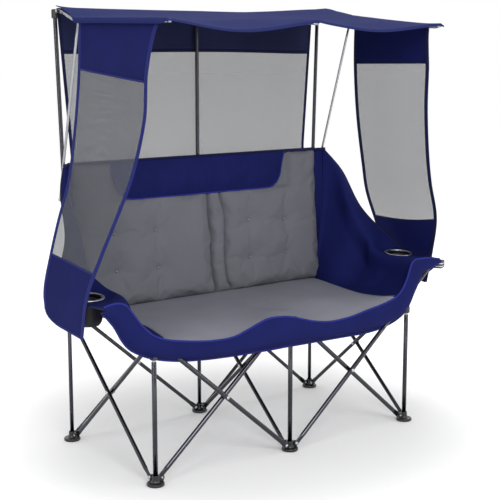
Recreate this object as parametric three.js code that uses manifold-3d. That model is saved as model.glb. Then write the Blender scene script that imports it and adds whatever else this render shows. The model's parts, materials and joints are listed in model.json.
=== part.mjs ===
// Folding camping loveseat with a sun canopy.
// Millimetres, +Z up, the front of the seat faces -Y. Left is -X, as seen from the front.
// Six posts stand on round feet. Seven crossing pairs of braces join neighbouring posts,
// and the whole grid folds up across its width and its depth at once.
import * as THREE from "three";
import { mergeVertices } from "three/addons/utils/BufferGeometryUtils.js";
import Module from "manifold-3d";

const wasm = await Module();
wasm.setup();

// Driving dimensions of the frame
const bayWidth = 550;
const bayDepth = 550;
const hubHeight = 462;
const pivotHeight = 22;
const pivotReach = 22;
const frontTube = 16;
const rearTube = 14;
const runGap = 0.3;
const armReach = 188;
const armTipInset = 70;
const armTipReach = armReach - armTipInset;

// Feet
const footDiameter = 58;
const footPlate = 10;
const footBossDiameter = 26;
const footBossHeight = 45;
const footFloor = 8;

// Hubs on the front posts and sliding sleeves on the rear poles
const hubDiameter = 26;
const hubTall = 25;
const hubDrop = 50;
const postWall = 1.7;
const rodFootHeight = 100;
const postTopDrop = 57;
const sleeveGap = 0.5;

// Lugs and rivets
const tongueThick = 5;
const tongueWide = 18;
const tongueLong = 16;
const tongueTaper = 18;
const rivetDiameter = 6;
const rivetHeadDiameter = 12;
const rivetHeadTall = 2.5;
const lugRound = 9;
const lugRootReach = 11;
const lugInnerReach = 9.5;
const lugNeckReach = 15.5;
const lugClearance = 15.5;

// Rear poles
const poleHeight = 1497;
const poleBendHeight = 720;
const poleLean = 22;
const poleStraightLong = 37;
const poleStraightHeight = poleHeight - poleStraightLong;

// Canopy frame
const ribTube = 12;
const ribPivotAhead = 22;
const ribPivotDrop = 2;
const ribPivotHeight = poleHeight - ribPivotDrop;
const elbowOut = 20;
const elbowAhead = 156;
const elbowDrop = 33;
const canopyFrontOut = 6;
const canopyFrontHalf = bayWidth + canopyFrontOut;
const canopyAhead = 653;
const canopyDrop = 45;
const strutTube = 9;
const strutTongue = 4;
const strutOffset = 9.5;
const strutTongueLong = 30;
const strutTaper = 24;
const collarDrop = 635;
const collarHeight = poleHeight - collarDrop;
const collarTall = 24;
const collarDiameter = 26;
const collarGap = 1.2;
const collarBossReach = 16.5;
const capDiameter = 24;
const capRoof = 4;
const capTop = poleHeight + capRoof;
const capTall = 30;
const capGap = 0.3;
const cheekGap = 0.9;
const cheekThick = 4;

// Cloth and pads
const clothThick = 3;
const seamGap = 0.5;
const seatRise = 13;
const seatTop = hubHeight + seatRise;
const seatRearInset = 30;
const seatRearHalf = bayWidth - seatRearInset;
const seatOverhang = 23.6;
const seatFront = -bayDepth / 2 - seatOverhang;
const seatBackGap = 0.4;
const seatThick = 20;
const seatEdgeThick = 8.8;
const seatFrontSag = 38;
const seatPeak = 7;
const seatCrown = 5;
const backTop = 983;
const backDip = 3.5;
const backBottom = seatTop - backDip;
const backInset = 10;
const backHalf = bayWidth - backInset;
const backLean = 45;
const backThick = 21;
const backPoleGap = 2;
const backFrontBottom = (bayDepth - rearTube) / 2 - backPoleGap - backLean - backThick;
const seatRear = backFrontBottom - seatBackGap;
const backCrown = 11;
const backEdgeThick = 14;
const tuftDepth = 9;
const tuftRadius = 34;
const tuftInner = 210;
const tuftOuter = 385;
const tuftUpperRise = 252;
const tuftLowerRise = 115;
const tuftUpper = seatTop + tuftUpperRise;
const tuftLower = seatTop + tuftLowerRise;
const creaseTop = 17;
const creaseBottom = 54;
const creaseBandTop = 52;
const creaseBandBottom = 65;
const headrestTall = 133;
const headrestBottom = backTop - headrestTall;
const headrestHalf = 405;
const headrestInset = 22;
const headrestCorner = 48;
const headrestThick = 24;
const headrestEdgeThick = 7;
const bandThick = 4;
const bandGap = 0.4;
const bandFront = seatFront - bandGap - bandThick;
const bandEndInset = 48;
const bandEndHalf = bayWidth + armReach - bandEndInset;
const bandRise = 130;
const armRearOut = 22;
const armRearHalf = bayWidth + armRearOut;
const armThick = 6;
const armFootGap = 1.1;
const armTopDrop = 3;
const armTopRear = backTop - armTopDrop;
const armRise = 129;
const armPanelHeight = seatTop + armRise;
const armOuterHalf = bayWidth + armReach;
const armStrutGap = 12;
const strutLong = ribPivotHeight - elbowDrop - collarHeight;
const strutShare = Math.max((armTopRear - collarHeight) / strutLong, 0);
const armRear = bayDepth / 2 - strutShare * (ribPivotAhead + elbowAhead) - armStrutGap;
const armOverhang = 20;
const armFront = -bayDepth / 2 - armOverhang;

// Cup holders and the stem-glass holder
const cupInset = 58;
const cupX = armOuterHalf - cupInset;
const cupBehindTip = 200;
const cupY = armFront + cupBehindTip;
const cupSink = 4;
const cupZ = armPanelHeight - cupSink;
const cupRingDiameter = 108;
const cupRingWide = 9;
const cupRingTall = 12;
const cupHoleGap = 0.4;
const pouchDepth = 76;
const pouchDiameter = 96;
const pouchFloorDiameter = 78;
const pouchWall = 2;
const holderLong = 80;
const holderWide = 40;
const holderTall = 26;
const holderSlotWide = 12;
const holderSlotLong = 46;
const holderCorner = 9;
const holderInset = 48;
const holderX = armOuterHalf - holderInset;
const holderBehindTip = 80;
const holderY = armFront + holderBehindTip;
const holderDrop = 15.8;
const holderTop = armPanelHeight - holderDrop;
const holderTurn = Math.PI / 6;

// Canopy cloth
const sailRearOver = 12;
const sailRibOver = 6;
const sailRearHalf = bayWidth + poleLean + sailRearOver;
const sailElbowHalf = bayWidth + poleLean + elbowOut + sailRibOver;
const sailFrontHalf = canopyFrontHalf + sailRibOver;
const sailBehindPole = 18;
const sailRear = bayDepth / 2 + sailBehindPole;
const sailFront = bayDepth / 2 - ribPivotAhead - canopyAhead - sailRibOver;
const sailSag = 14;
const sailCornerRise = 9;
const sailPeakDrop = 4;
const sailCapLift = 2.5;
const panelCapGap = 2.2;
const panelY = (bayDepth + capDiameter) / 2 + panelCapGap;
const panelTopOut = 2;
const panelTopHalf = bayWidth + panelTopOut;
const panelBottomInset = 36;
const panelBottomHalf = bayWidth - panelBottomInset;
const panelLap = 28;
const panelBottom = backTop - panelLap;
const panelHang = 1.8;
const curtainThick = 2.6;
const curtainRearInset = 29;
const curtainFrontInset = 64;
const curtainTopRear = bayDepth / 2 - ribPivotAhead - elbowAhead - curtainRearInset;
const curtainTopFront = sailFront + curtainFrontInset;
const curtainBeyondArm = 14;
const curtainOut = armOuterHalf + curtainBeyondArm;
const curtainRearRise = 37;
const curtainFrontRise = 15;
const curtainBottomRear = seatTop + curtainRearRise;
const curtainBottomFront = seatTop + curtainFrontRise;
const curtainWave = 5;

// How finely the round and soft shapes are cut
const tubeSides = 8;
const roundSides = 14;
const headSides = 8;
const pinSides = 6;
const rivetHole = (rivetDiameter + 2 * runGap) / Math.cos(Math.PI / pinSides);

// Colours and finishes
const finishes = {
  tube: { color: 0x3c3c41, roughness: 0.35, metalness: 0.7 },
  bright: { color: 0xa9abb0, roughness: 0.3, metalness: 0.8 },
  plastic: { color: 0x111114, roughness: 0.35, metalness: 0 },
  navy: { color: 0x22265f, roughness: 0.85, metalness: 0 },
  sail: { color: 0x3e4478, roughness: 0.85, metalness: 0 },
  grey: { color: 0x6e6f78, roughness: 0.9, metalness: 0 },
  mesh: { color: 0xa5a9ae, roughness: 0.9, metalness: 0 },
  net: { color: 0x17183a, roughness: 0.9, metalness: 0 },
};

const model = new THREE.Group();

function vec(x, y, z) {
  return new THREE.Vector3(x, y, z);
}

function addPart(name, geometry, finish) {
  const material = new THREE.MeshStandardMaterial(finishes[finish]);
  const mesh = new THREE.Mesh(geometry, material);
  mesh.name = name;
  model.add(mesh);
}

// Solids that can be joined and cut
function toSolid(geometry) {
  const bare = geometry.index ? geometry.toNonIndexed() : geometry.clone();
  bare.deleteAttribute("normal");
  bare.deleteAttribute("uv");
  const merged = mergeVertices(bare, runGap / 100);
  return new wasm.Manifold(
    new wasm.Mesh({
      numProp: 3,
      vertProperties: new Float32Array(merged.attributes.position.array),
      triVerts: new Uint32Array(merged.index.array),
    }),
  );
}

function toGeometry(solid) {
  const mesh = solid.getMesh();
  const geometry = new THREE.BufferGeometry();
  geometry.setAttribute("position", new THREE.BufferAttribute(mesh.vertProperties, 3));
  geometry.setIndex(new THREE.BufferAttribute(mesh.triVerts, 1));
  return geometry;
}

function join(solids) {
  return solids.reduce((whole, next) => whole.add(next));
}

// A cylinder between two points
function rod(from, to, diameter, sides) {
  const along = to.clone().sub(from);
  const geometry = new THREE.CylinderGeometry(diameter / 2, diameter / 2, along.length(), sides);
  const turn = new THREE.Quaternion().setFromUnitVectors(vec(0, 1, 0), along.clone().normalize());
  geometry.applyQuaternion(turn);
  geometry.translate(...from.clone().add(to).divideScalar(2).toArray());
  return toSolid(geometry);
}

// A pin along X through a point
function crossPin(x, y, z, half, diameter) {
  return rod(vec(x - half, y, z), vec(x + half, y, z), diameter, pinSides);
}

// A turned shape: profile points are [radius, height]
function turned(profile, x, y, sides) {
  const points = profile.map(([r, z]) => new THREE.Vector2(r, z));
  const geometry = new THREE.LatheGeometry(points, sides);
  geometry.rotateX(Math.PI / 2);
  geometry.translate(x, y, 0);
  return geometry;
}

// A flat plate: outline points are [reach, height] in the plane of "out" and +Z
function plate(outline, origin, out, normal, low, high) {
  const shape = new THREE.Shape(outline.map(([r, z]) => new THREE.Vector2(r, z)));
  const geometry = new THREE.ExtrudeGeometry(shape, { depth: high - low, bevelEnabled: false });
  geometry.translate(0, 0, low);
  const up = vec(0, 0, 1);
  const basis = new THREE.Matrix4().makeBasis(out, up, normal);
  if (basis.determinant() < 0) {
    geometry.scale(1, 1, -1);
    basis.makeBasis(out, up, normal.clone().negate());
    flipFaces(geometry);
  }
  geometry.applyMatrix4(basis);
  geometry.translate(...origin.toArray());
  return toSolid(geometry);
}

function flipFaces(geometry) {
  const position = geometry.attributes.position.array;
  for (let i = 0; i < position.length; i += 9) {
    for (let k = 0; k < 3; k += 1) {
      const kept = position[i + 3 + k];
      position[i + 3 + k] = position[i + 6 + k];
      position[i + 6 + k] = kept;
    }
  }
}

// A closed skin over rows of points, with the ends of each row joined into a ring
function ringSkin(rings) {
  const count = rings[0].length;
  const position = [];
  const index = [];
  rings.forEach((ring) => ring.forEach((p) => position.push(p.x, p.y, p.z)));
  for (let i = 0; i + 1 < rings.length; i += 1) {
    for (let k = 0; k < count; k += 1) {
      const a = i * count + k;
      const b = i * count + ((k + 1) % count);
      index.push(a, b, a + count);
      index.push(b, b + count, a + count);
    }
  }
  const last = (rings.length - 1) * count;
  for (let k = 1; k + 1 < count; k += 1) {
    index.push(0, k + 1, k);
    index.push(last, last + k, last + k + 1);
  }
  const geometry = new THREE.BufferGeometry();
  geometry.setAttribute("position", new THREE.Float32BufferAttribute(position, 3));
  geometry.setIndex(index);
  return geometry;
}

// A tube through stations of { at, wide, thick }. "flat" is the way in which it is thin.
function sweep(stations, flat, sides) {
  const rings = stations.map(({ wide, thick }, i) => {
    const before = stations[Math.max(i - 1, 0)].at;
    const after = stations[Math.min(i + 1, stations.length - 1)].at;
    const tangent = after.clone().sub(before).normalize();
    const side = new THREE.Vector3().crossVectors(flat, tangent).normalize();
    const up = new THREE.Vector3().crossVectors(tangent, side);
    const ring = [];
    for (let k = 0; k < sides; k += 1) {
      const angle = (2 * Math.PI * (k + 1 / 2)) / sides;
      const point = stations[i].at.clone();
      point.addScaledVector(side, (wide / 2) * Math.cos(angle));
      point.addScaledVector(up, (thick / 2) * Math.sin(angle));
      ring.push(point);
    }
    return ring;
  });
  return ringSkin(rings);
}

// A soft sheet or pad: front(u, v) and back(u, v) are its two faces
function padding(front, back, columns, rows) {
  const rings = [];
  for (let i = 0; i <= columns; i += 1) {
    const u = i / columns;
    const ring = [];
    for (let k = 0; k <= rows; k += 1) {
      ring.push(front(u, k / rows));
    }
    for (let k = rows; k >= 0; k -= 1) {
      ring.push(back(u, k / rows));
    }
    rings.push(ring);
  }
  return padSkin(rings, rows);
}

function padSkin(rings, rows) {
  const count = rings[0].length;
  const geometry = ringSkin(rings);
  const index = Array.from(geometry.index.array);
  const sideFaces = (rings.length - 1) * count * 6;
  const kept = index.slice(0, sideFaces);
  const last = (rings.length - 1) * count;
  for (let k = 0; k < rows; k += 1) {
    const a = k;
    const b = k + 1;
    const c = count - 1 - k;
    const d = count - 2 - k;
    kept.push(a, c, b, b, c, d);
    kept.push(last + a, last + b, last + c, last + b, last + d, last + c);
  }
  geometry.setIndex(kept);
  return geometry;
}

// Turns a geometry right way out when its volume comes out negative
function outward(geometry) {
  const p = geometry.attributes.position;
  const index = geometry.index.array;
  let volume = 0;
  for (let i = 0; i < index.length; i += 3) {
    const a = new THREE.Vector3().fromBufferAttribute(p, index[i]);
    const b = new THREE.Vector3().fromBufferAttribute(p, index[i + 1]);
    const c = new THREE.Vector3().fromBufferAttribute(p, index[i + 2]);
    volume += a.dot(b.cross(c));
  }
  if (volume < 0) {
    const turnedOver = [];
    for (let i = 0; i < index.length; i += 3) {
      turnedOver.push(index[i], index[i + 2], index[i + 1]);
    }
    geometry.setIndex(turnedOver);
  }
  return geometry;
}

// A smooth value through a table of [place, value] pairs, both as shares
function follow(table, t) {
  const points = table.map(([place, value]) => vec(place, value, 0));
  let i = 1;
  while (i < points.length - 1 && t > points[i].x) {
    i += 1;
  }
  const a = points[i - 1];
  const b = points[i];
  const before = points[Math.max(i - 2, 0)];
  const after = points[Math.min(i + 1, points.length - 1)];
  const s = Math.min(Math.max((t - a.x) / (b.x - a.x), 0), 1);
  const gap = b.x - a.x;
  const slopeA = ((b.y - before.y) / (b.x - before.x)) * gap;
  const slopeB = ((after.y - a.y) / (after.x - a.x)) * gap;
  const s2 = s * s;
  const s3 = s2 * s;
  const ease = 3 * s2 - 2 * s3;
  return a.y + ease * (b.y - a.y) + (s3 - 2 * s2 + s) * slopeA + (s3 - s2) * slopeB;
}

function mix(a, b, t) {
  return a + (b - a) * t;
}

// Posts, hubs and the seven crossing pairs
const corners = {
  rear_center: { x: 0, y: bayDepth / 2, rear: true },
  front_center: { x: 0, y: -bayDepth / 2, rear: false },
  front_left: { x: -bayWidth, y: -bayDepth / 2, rear: false },
  front_right: { x: bayWidth, y: -bayDepth / 2, rear: false },
  rear_left: { x: -bayWidth, y: bayDepth / 2, rear: true },
  rear_right: { x: bayWidth, y: bayDepth / 2, rear: true },
};

// Each pair: brace one runs from the foot of "from" up to the hub of "to", brace two back.
// "side" is the way in which brace one is set off from the plane of the posts.
const crossings = [
  { name: "front_left", from: "front_center", to: "front_left", side: [0, -1], long: true },
  { name: "front_right", from: "front_center", to: "front_right", side: [0, -1], long: true },
  { name: "rear_left", from: "rear_center", to: "rear_left", side: [0, -1], long: false },
  { name: "rear_right", from: "rear_center", to: "rear_right", side: [0, -1], long: false },
  { name: "side_left", from: "rear_left", to: "front_left", side: [1, 0], long: false },
  { name: "side_right", from: "rear_right", to: "front_right", side: [-1, 0], long: false },
  { name: "center", from: "rear_center", to: "front_center", side: [1, 0], long: false },
];

// The front pairs are made of the thicker tube, and their long braces carry the arms
crossings.forEach((pair) => {
  pair.tube = pair.long ? frontTube : rearTube;
});

function setOff(tube) {
  return tube / 2 + runGap;
}

function flatWay(from, to) {
  return vec(to.x - from.x, to.y - from.y, 0).normalize();
}

// The pivot point of a corner towards its neighbour, on the plane of the posts
function pivotAt(corner, toward, height) {
  return vec(corner.x, corner.y, height).addScaledVector(flatWay(corner, toward), pivotReach);
}

// A lug with its rivet. "whole" marks a lug beside a tube that is not flattened there.
function lug(corner, toward, height, root, rootTop, side, tube, whole) {
  const out = flatWay(corner, toward);
  const off = setOff(tube);
  const half = off - tongueThick / 2 - runGap;
  const low = -half;
  const high = whole ? 0 : half;
  const outer = pivotReach + lugRound;
  const top = height + lugRound;
  const bevel = lugRound / 3;
  const under = Math.max(root, height - lugClearance);
  const outline = [
    [lugRootReach, root],
    [Math.min(lugNeckReach, outer), root],
    [lugNeckReach, under],
    [outer - bevel, Math.max(under, root) + bevel / 2],
    [outer, height - lugRound],
    [outer, top - bevel],
    [outer - bevel, top],
    [lugInnerReach, top],
    [lugInnerReach, rootTop],
  ];
  const origin = vec(corner.x, corner.y, 0);
  const body = plate(outline, origin, out, side, low, high);
  const pivot = pivotAt(corner, toward, height);
  const reach = whole ? off + tube / 2 : off + tongueThick / 2;
  const headStart = reach + runGap;
  const start = pivot.clone().addScaledVector(side, low);
  const headBase = pivot.clone().addScaledVector(side, headStart);
  const headEnd = pivot.clone().addScaledVector(side, headStart + rivetHeadTall);
  const shank = rod(start, headEnd, rivetDiameter, pinSides);
  const head = rod(headBase, headEnd, rivetHeadDiameter, headSides);
  return join([body, shank, head]);
}

// The lugs that each corner carries low at its foot and high at its hub
const footLugs = {};
const hubLugs = {};
Object.keys(corners).forEach((name) => {
  footLugs[name] = [];
  hubLugs[name] = [];
});
crossings.forEach((pair) => {
  const side = vec(pair.side[0], pair.side[1], 0);
  const back = side.clone().negate();
  footLugs[pair.from].push({ toward: pair.to, side, tube: pair.tube, whole: false });
  footLugs[pair.to].push({ toward: pair.from, side: back, tube: pair.tube, whole: false });
  hubLugs[pair.to].push({ toward: pair.from, side, tube: pair.tube, whole: pair.long });
  hubLugs[pair.from].push({ toward: pair.to, side: back, tube: pair.tube, whole: false });
});

function lugsOf(table, name, height, root, rootTop) {
  const corner = corners[name];
  return table[name].map(({ toward, side, tube, whole }) =>
    lug(corner, corners[toward], height, root, rootTop, side, tube, whole),
  );
}

function tubeOf(corner) {
  return corner.rear ? rearTube : frontTube;
}

// A round foot with a socket for its post and a lug for each brace
function foot(name) {
  const corner = corners[name];
  const socket = tubeOf(corner) / 2 + runGap;
  const radius = footDiameter / 2;
  const boss = footBossDiameter / 2;
  const edge = footPlate / 3;
  const profile = [
    [0, 0],
    [radius - edge, 0],
    [radius, edge],
    [radius, footPlate - edge],
    [radius - edge, footPlate],
    [boss, footPlate],
    [boss, footBossHeight],
    [socket, footBossHeight],
    [socket, footFloor],
    [0, footFloor],
  ];
  const base = toSolid(turned(profile, corner.x, corner.y, roundSides));
  return join([base, ...lugsOf(footLugs, name, pivotHeight, footFloor, footBossHeight / 2)]);
}

// The lower tube of a front post stands in the foot and is open at the top
function frontPost(name) {
  const corner = corners[name];
  const outer = frontTube / 2;
  const inner = outer - postWall;
  const bottom = footFloor + runGap;
  const top = hubHeight - postTopDrop;
  const profile = [
    [inner, bottom],
    [outer, bottom],
    [outer, top],
    [inner, top],
    [inner, bottom],
  ];
  return toSolid(turned(profile, corner.x, corner.y, tubeSides));
}

// The hub of a front post, on a rod that slides in the lower tube
function frontHub(name) {
  const corner = corners[name];
  const rodRadius = frontTube / 2 - postWall - runGap;
  const low = hubHeight - hubDrop;
  const profile = [
    [0, rodFootHeight],
    [rodRadius, rodFootHeight],
    [rodRadius, low],
    [0, low],
  ];
  const inner = toSolid(turned(profile, corner.x, corner.y, tubeSides));
  const radius = hubDiameter / 2;
  const headProfile = [
    [0, low - runGap],
    [radius, low - runGap],
    [radius, low + hubTall],
    [0, low + hubTall],
  ];
  const head = toSolid(turned(headProfile, corner.x, corner.y, roundSides));
  return join([inner, head, ...lugsOf(hubLugs, name, hubHeight, low, low + hubTall)]);
}

// A sleeve that slides up a rear pole as the frame folds
function rearSleeve(name) {
  const corner = corners[name];
  const bore = rearTube / 2 + sleeveGap;
  const radius = hubDiameter / 2;
  const low = hubHeight - hubDrop;
  const high = low + hubTall;
  const profile = [
    [bore, low],
    [radius, low],
    [radius, high],
    [bore, high],
    [bore, low],
  ];
  const ring = toSolid(turned(profile, corner.x, corner.y, roundSides));
  return join([ring, ...lugsOf(hubLugs, name, hubHeight, low, high)]);
}

// How far a rear pole has leaned outwards at a height
function leanAt(height) {
  const share = (height - poleBendHeight) / (poleStraightHeight - poleBendHeight);
  return poleLean * Math.min(Math.max(share, 0), 1);
}

function rearPole(name) {
  const corner = corners[name];
  const way = Math.sign(corner.x);
  const bottom = footFloor + runGap;
  const stations = [bottom, poleBendHeight, poleStraightHeight, poleHeight].map((z) => ({
    at: vec(corner.x + way * leanAt(z), corner.y, z),
    wide: rearTube,
    thick: rearTube,
  }));
  return toSolid(sweep(stations, vec(0, 1, 0), tubeSides));
}

// A brace along local X from pivot to pivot; local Z is the way in which it is set off
function braceGeometry(span, tube, endLong) {
  const wide = tongueWide;
  const tip = tongueWide / 2;
  const flatEnd = (sign, base) => [
    { s: base - sign * tip, wide: wide / 2, thick: tongueThick * 0.8 },
    { s: base, wide, thick: tongueThick },
    { s: base + sign * tongueLong, wide, thick: tongueThick },
    { s: base + sign * (tongueLong + tongueTaper), wide: tube, thick: tube },
  ];
  const roundEnd = [
    { s: span + endLong - tube / 4, wide: tube, thick: tube },
    { s: span + endLong, wide: tube / 2, thick: tube / 2 },
  ];
  const upper = endLong > 0 ? roundEnd : flatEnd(-1, span).reverse();
  const stations = [...flatEnd(1, 0), ...upper].map(({ s, wide: w, thick }) => ({
    at: vec(s, 0, 0),
    wide: w,
    thick,
  }));
  return sweep(stations, vec(0, 0, 1), tubeSides);
}

function acrossRod(s, low, high, diameter) {
  const sides = diameter < rivetHeadDiameter ? pinSides : headSides;
  return rod(vec(s, 0, low), vec(s, 0, high), diameter, sides);
}

// Both braces of a crossing pair, in place
function bracePair(pair) {
  const from = corners[pair.from];
  const to = corners[pair.to];
  const out = flatWay(from, to);
  const side = vec(pair.side[0], pair.side[1], 0);
  const off = setOff(pair.tube);
  const foot1 = pivotAt(from, to, pivotHeight);
  const hub1 = pivotAt(to, from, hubHeight);
  const foot2 = pivotAt(to, from, pivotHeight);
  const hub2 = pivotAt(from, to, hubHeight);
  const span = foot1.distanceTo(hub1);
  const slope = hub1.clone().sub(foot1).normalize().dot(out);
  const endLong = pair.long ? (armTipReach + pivotReach) / slope : 0;
  const room = pair.tube;
  const middle = span / 2;

  let one = toSolid(outward(braceGeometry(span, pair.tube, endLong)));
  one = one.subtract(acrossRod(0, -room, room, rivetHole));
  one = one.subtract(acrossRod(span, -room, room, rivetHole));
  const farFace = 2 * off + pair.tube / 2 + runGap;
  const farHead = -farFace - rivetHeadTall;
  const nearHead = pair.tube / 2 + rivetHeadTall;
  one = one.add(acrossRod(middle, farHead, nearHead, rivetDiameter));
  one = one.add(acrossRod(middle, farHead, -farFace, rivetHeadDiameter));
  one = one.add(acrossRod(middle, 0, nearHead, rivetHeadDiameter));

  let two = toSolid(outward(braceGeometry(span, pair.tube, 0)));
  [0, middle, span].forEach((s) => {
    two = two.subtract(acrossRod(s, -room, room, rivetHole));
  });
  return {
    one: inPlace(one, foot1, hub1, side, off),
    two: inPlace(two, foot2, hub2, side, -off),
  };
}

function inPlace(solid, low, high, side, off) {
  const along = high.clone().sub(low).normalize();
  const across = new THREE.Vector3().crossVectors(side, along).normalize();
  const geometry = toGeometry(solid);
  geometry.applyMatrix4(new THREE.Matrix4().makeBasis(along, across, side));
  geometry.translate(...low.clone().addScaledVector(side, off).toArray());
  return outward(geometry);
}

Object.keys(corners).forEach((name) => {
  addPart(`${name}_foot`, toGeometry(foot(name)), "plastic");
  if (corners[name].rear) {
    addPart(`${name}_pole`, toGeometry(rearPole(name)), "tube");
    addPart(`${name}_sleeve`, toGeometry(rearSleeve(name)), "plastic");
  } else {
    addPart(`${name}_post`, toGeometry(frontPost(name)), "tube");
    addPart(`${name}_hub`, toGeometry(frontHub(name)), "plastic");
  }
});
crossings.forEach((pair) => {
  const { one, two } = bracePair(pair);
  addPart(`${pair.name}_brace_one`, one, "tube");
  addPart(`${pair.name}_brace_two`, two, "tube");
});

// Canopy frame: the ribs turn about one line just ahead of the tops of the poles
const poleLine = bayDepth / 2;
const ribPivotY = poleLine - ribPivotAhead;
const capHalfX = bayWidth + poleLean;
const elbow = { x: capHalfX + elbowOut, y: ribPivotY - elbowAhead, z: ribPivotHeight - elbowDrop };
const ribFront = { x: canopyFrontHalf, y: ribPivotY - canopyAhead, z: ribPivotHeight - canopyDrop };

// A cap on a pole with two cheeks that hold a rib's flattened end
function poleCap(x) {
  const socket = rearTube / 2 + capGap;
  const radius = capDiameter / 2;
  const edge = capDiameter / 8;
  const profile = [
    [0, poleHeight + runGap],
    [socket, poleHeight + runGap],
    [socket, capTop - capTall],
    [radius, capTop - capTall],
    [radius, capTop - edge],
    [radius - edge, capTop],
    [0, capTop],
  ];
  const body = toSolid(outward(turned(profile, x, poleLine, roundSides)));
  const innerFace = tongueThick / 2 + cheekGap;
  const outerFace = innerFace + cheekThick;
  const top = ribPivotHeight + ribTube / 2;
  const low = ribPivotHeight - lugRound;
  const outline = [
    [radius - edge, low],
    [ribPivotAhead + lugRound, low],
    [ribPivotAhead + lugRound, top],
    [radius - edge, top],
  ];
  const origin = vec(x, poleLine, 0);
  const ahead = vec(0, -1, 0);
  const right = vec(1, 0, 0);
  const cheeks = [
    plate(outline, origin, ahead, right, innerFace, outerFace),
    plate(outline, origin, ahead, right, -outerFace, -innerFace),
  ];
  const pinEnd = outerFace + rivetHeadTall / 2;
  const pin = crossPin(x, ribPivotY, ribPivotHeight, pinEnd, rivetDiameter);
  return join([body, ...cheeks, pin]);
}

function ribStations(points) {
  const curve = new THREE.CatmullRomCurve3(points, false, "centripetal");
  const places = curve.getPoints(points.length * 2);
  const stations = places.map((at) => ({ at, wide: ribTube, thick: ribTube }));
  const length = curve.getLength();
  const start = points[0];
  const ahead = curve.getPointAt(tongueLong / length);
  const taper = curve.getPointAt((tongueLong + tongueTaper) / length);
  const behind = start.clone().lerp(ahead, -lugRound / tongueLong);
  const wide = ribTube;
  const flat = [
    { at: behind, wide: wide / 2, thick: tongueThick },
    { at: start.clone(), wide, thick: tongueThick },
    { at: ahead, wide, thick: tongueThick },
    { at: taper, wide: ribTube, thick: ribTube },
  ];
  const rest = stations.filter(({ at }) => at.distanceTo(start) > tongueLong + 2 * tongueTaper);
  return [...flat, ...rest];
}

// A side rib runs straight to its elbow and flattens out ahead of it.
// Each row is a share of the way out to the elbow, ahead and down.
const ribRearShares = [
  [0, 0, 0],
  [0.01, 0.22, 0.2],
  [0.66, 0.68, 0.7],
];
const ribFrontShares = [
  [0, 0, 0],
  [0.3, 0.3, 0.32],
  [1, 1, 1],
];

function sideRibPoints(way) {
  const rearPoints = ribRearShares.map(([out, ahead, down]) =>
    vec(
      way * mix(capHalfX, elbow.x, out),
      mix(ribPivotY, elbow.y, ahead),
      mix(ribPivotHeight, elbow.z, down),
    ),
  );
  const frontPoints = ribFrontShares.map(([out, ahead, down]) =>
    vec(
      way * mix(elbow.x, ribFront.x, out),
      mix(elbow.y, ribFront.y, ahead),
      mix(elbow.z, ribFront.z, down),
    ),
  );
  return [...rearPoints, ...frontPoints];
}

function sideRib(way) {
  const points = sideRibPoints(way);
  let rib = toSolid(outward(sweep(ribStations(points), vec(1, 0, 0), tubeSides)));
  rib = rib.subtract(crossPin(points[0].x, ribPivotY, ribPivotHeight, ribTube, rivetHole));
  const strutFace = elbow.x - strutOffset - strutTongue / 2;
  const headFace = strutFace - runGap;
  const pinStart = vec(way * elbow.x, elbow.y, elbow.z);
  const pinEnd = vec(way * (headFace - rivetHeadTall), elbow.y, elbow.z);
  const headStart = vec(way * headFace, elbow.y, elbow.z);
  const pin = rod(pinStart, pinEnd, rivetDiameter, pinSides);
  const head = rod(headStart, pinEnd, rivetHeadDiameter, pinSides);
  return join([rib, pin, head]);
}

function centerRib() {
  const points = [
    vec(0, ribPivotY, ribPivotHeight),
    vec(0, mix(ribPivotY, ribFront.y, 1 / 2), mix(ribPivotHeight, ribFront.z, 1 / 2)),
    vec(0, ribFront.y, ribFront.z),
  ];
  const rib = toSolid(outward(sweep(ribStations(points), vec(1, 0, 0), tubeSides)));
  return rib.subtract(crossPin(0, ribPivotY, ribPivotHeight, ribTube, rivetHole));
}

const collarX = bayWidth + leanAt(collarHeight);
const strutLowX = collarX + collarBossReach + runGap + strutTongue / 2;

// A strut from the elbow of a side rib down to the collar on the pole
function strut(way) {
  const top = vec(way * (elbow.x - strutOffset), elbow.y, elbow.z);
  const low = vec(way * strutLowX, poleLine, collarHeight);
  const along = low.clone().sub(top);
  const length = along.length();
  const at = (s) => top.clone().addScaledVector(along, s / length);
  const wide = strutTube * 1.3;
  const endRound = wide / 2;
  const stations = [
    { at: at(-endRound), wide: wide / 2, thick: strutTongue },
    { at: at(0), wide, thick: strutTongue },
    { at: at(strutTongueLong), wide, thick: strutTongue },
    { at: at(strutTongueLong + strutTaper), wide: strutTube, thick: strutTube },
    { at: at(length - strutTongueLong - strutTaper), wide: strutTube, thick: strutTube },
    { at: at(length - strutTongueLong), wide, thick: strutTongue },
    { at: at(length), wide, thick: strutTongue },
    { at: at(length + endRound), wide: wide / 2, thick: strutTongue },
  ];
  const bar = toSolid(outward(sweep(stations, vec(1, 0, 0), pinSides)));
  const reach = strutTube;
  const cut = crossPin(top.x, top.y, top.z, reach, rivetHole);
  const headEnd = vec(low.x + way * (strutTongue / 2 + rivetHeadTall), low.y, low.z);
  return bar.subtract(cut).add(rod(low, headEnd, rivetHeadDiameter, pinSides));
}

// A collar that slides on the pole, with a boss beside the strut's lower end
function strutCollar(way) {
  const bore = rearTube / 2 + collarGap;
  const radius = collarDiameter / 2;
  const low = collarHeight - collarTall / 2;
  const high = collarHeight + collarTall / 2;
  const profile = [
    [bore, low],
    [radius, low],
    [radius, high],
    [bore, high],
    [bore, low],
  ];
  const ring = toSolid(turned(profile, way * collarX, poleLine, roundSides));
  const bossStart = vec(way * (collarX + (bore + radius) / 2), poleLine, collarHeight);
  const bossEnd = vec(way * (collarX + collarBossReach), poleLine, collarHeight);
  return ring.add(rod(bossStart, bossEnd, rivetHeadDiameter, pinSides));
}

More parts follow.
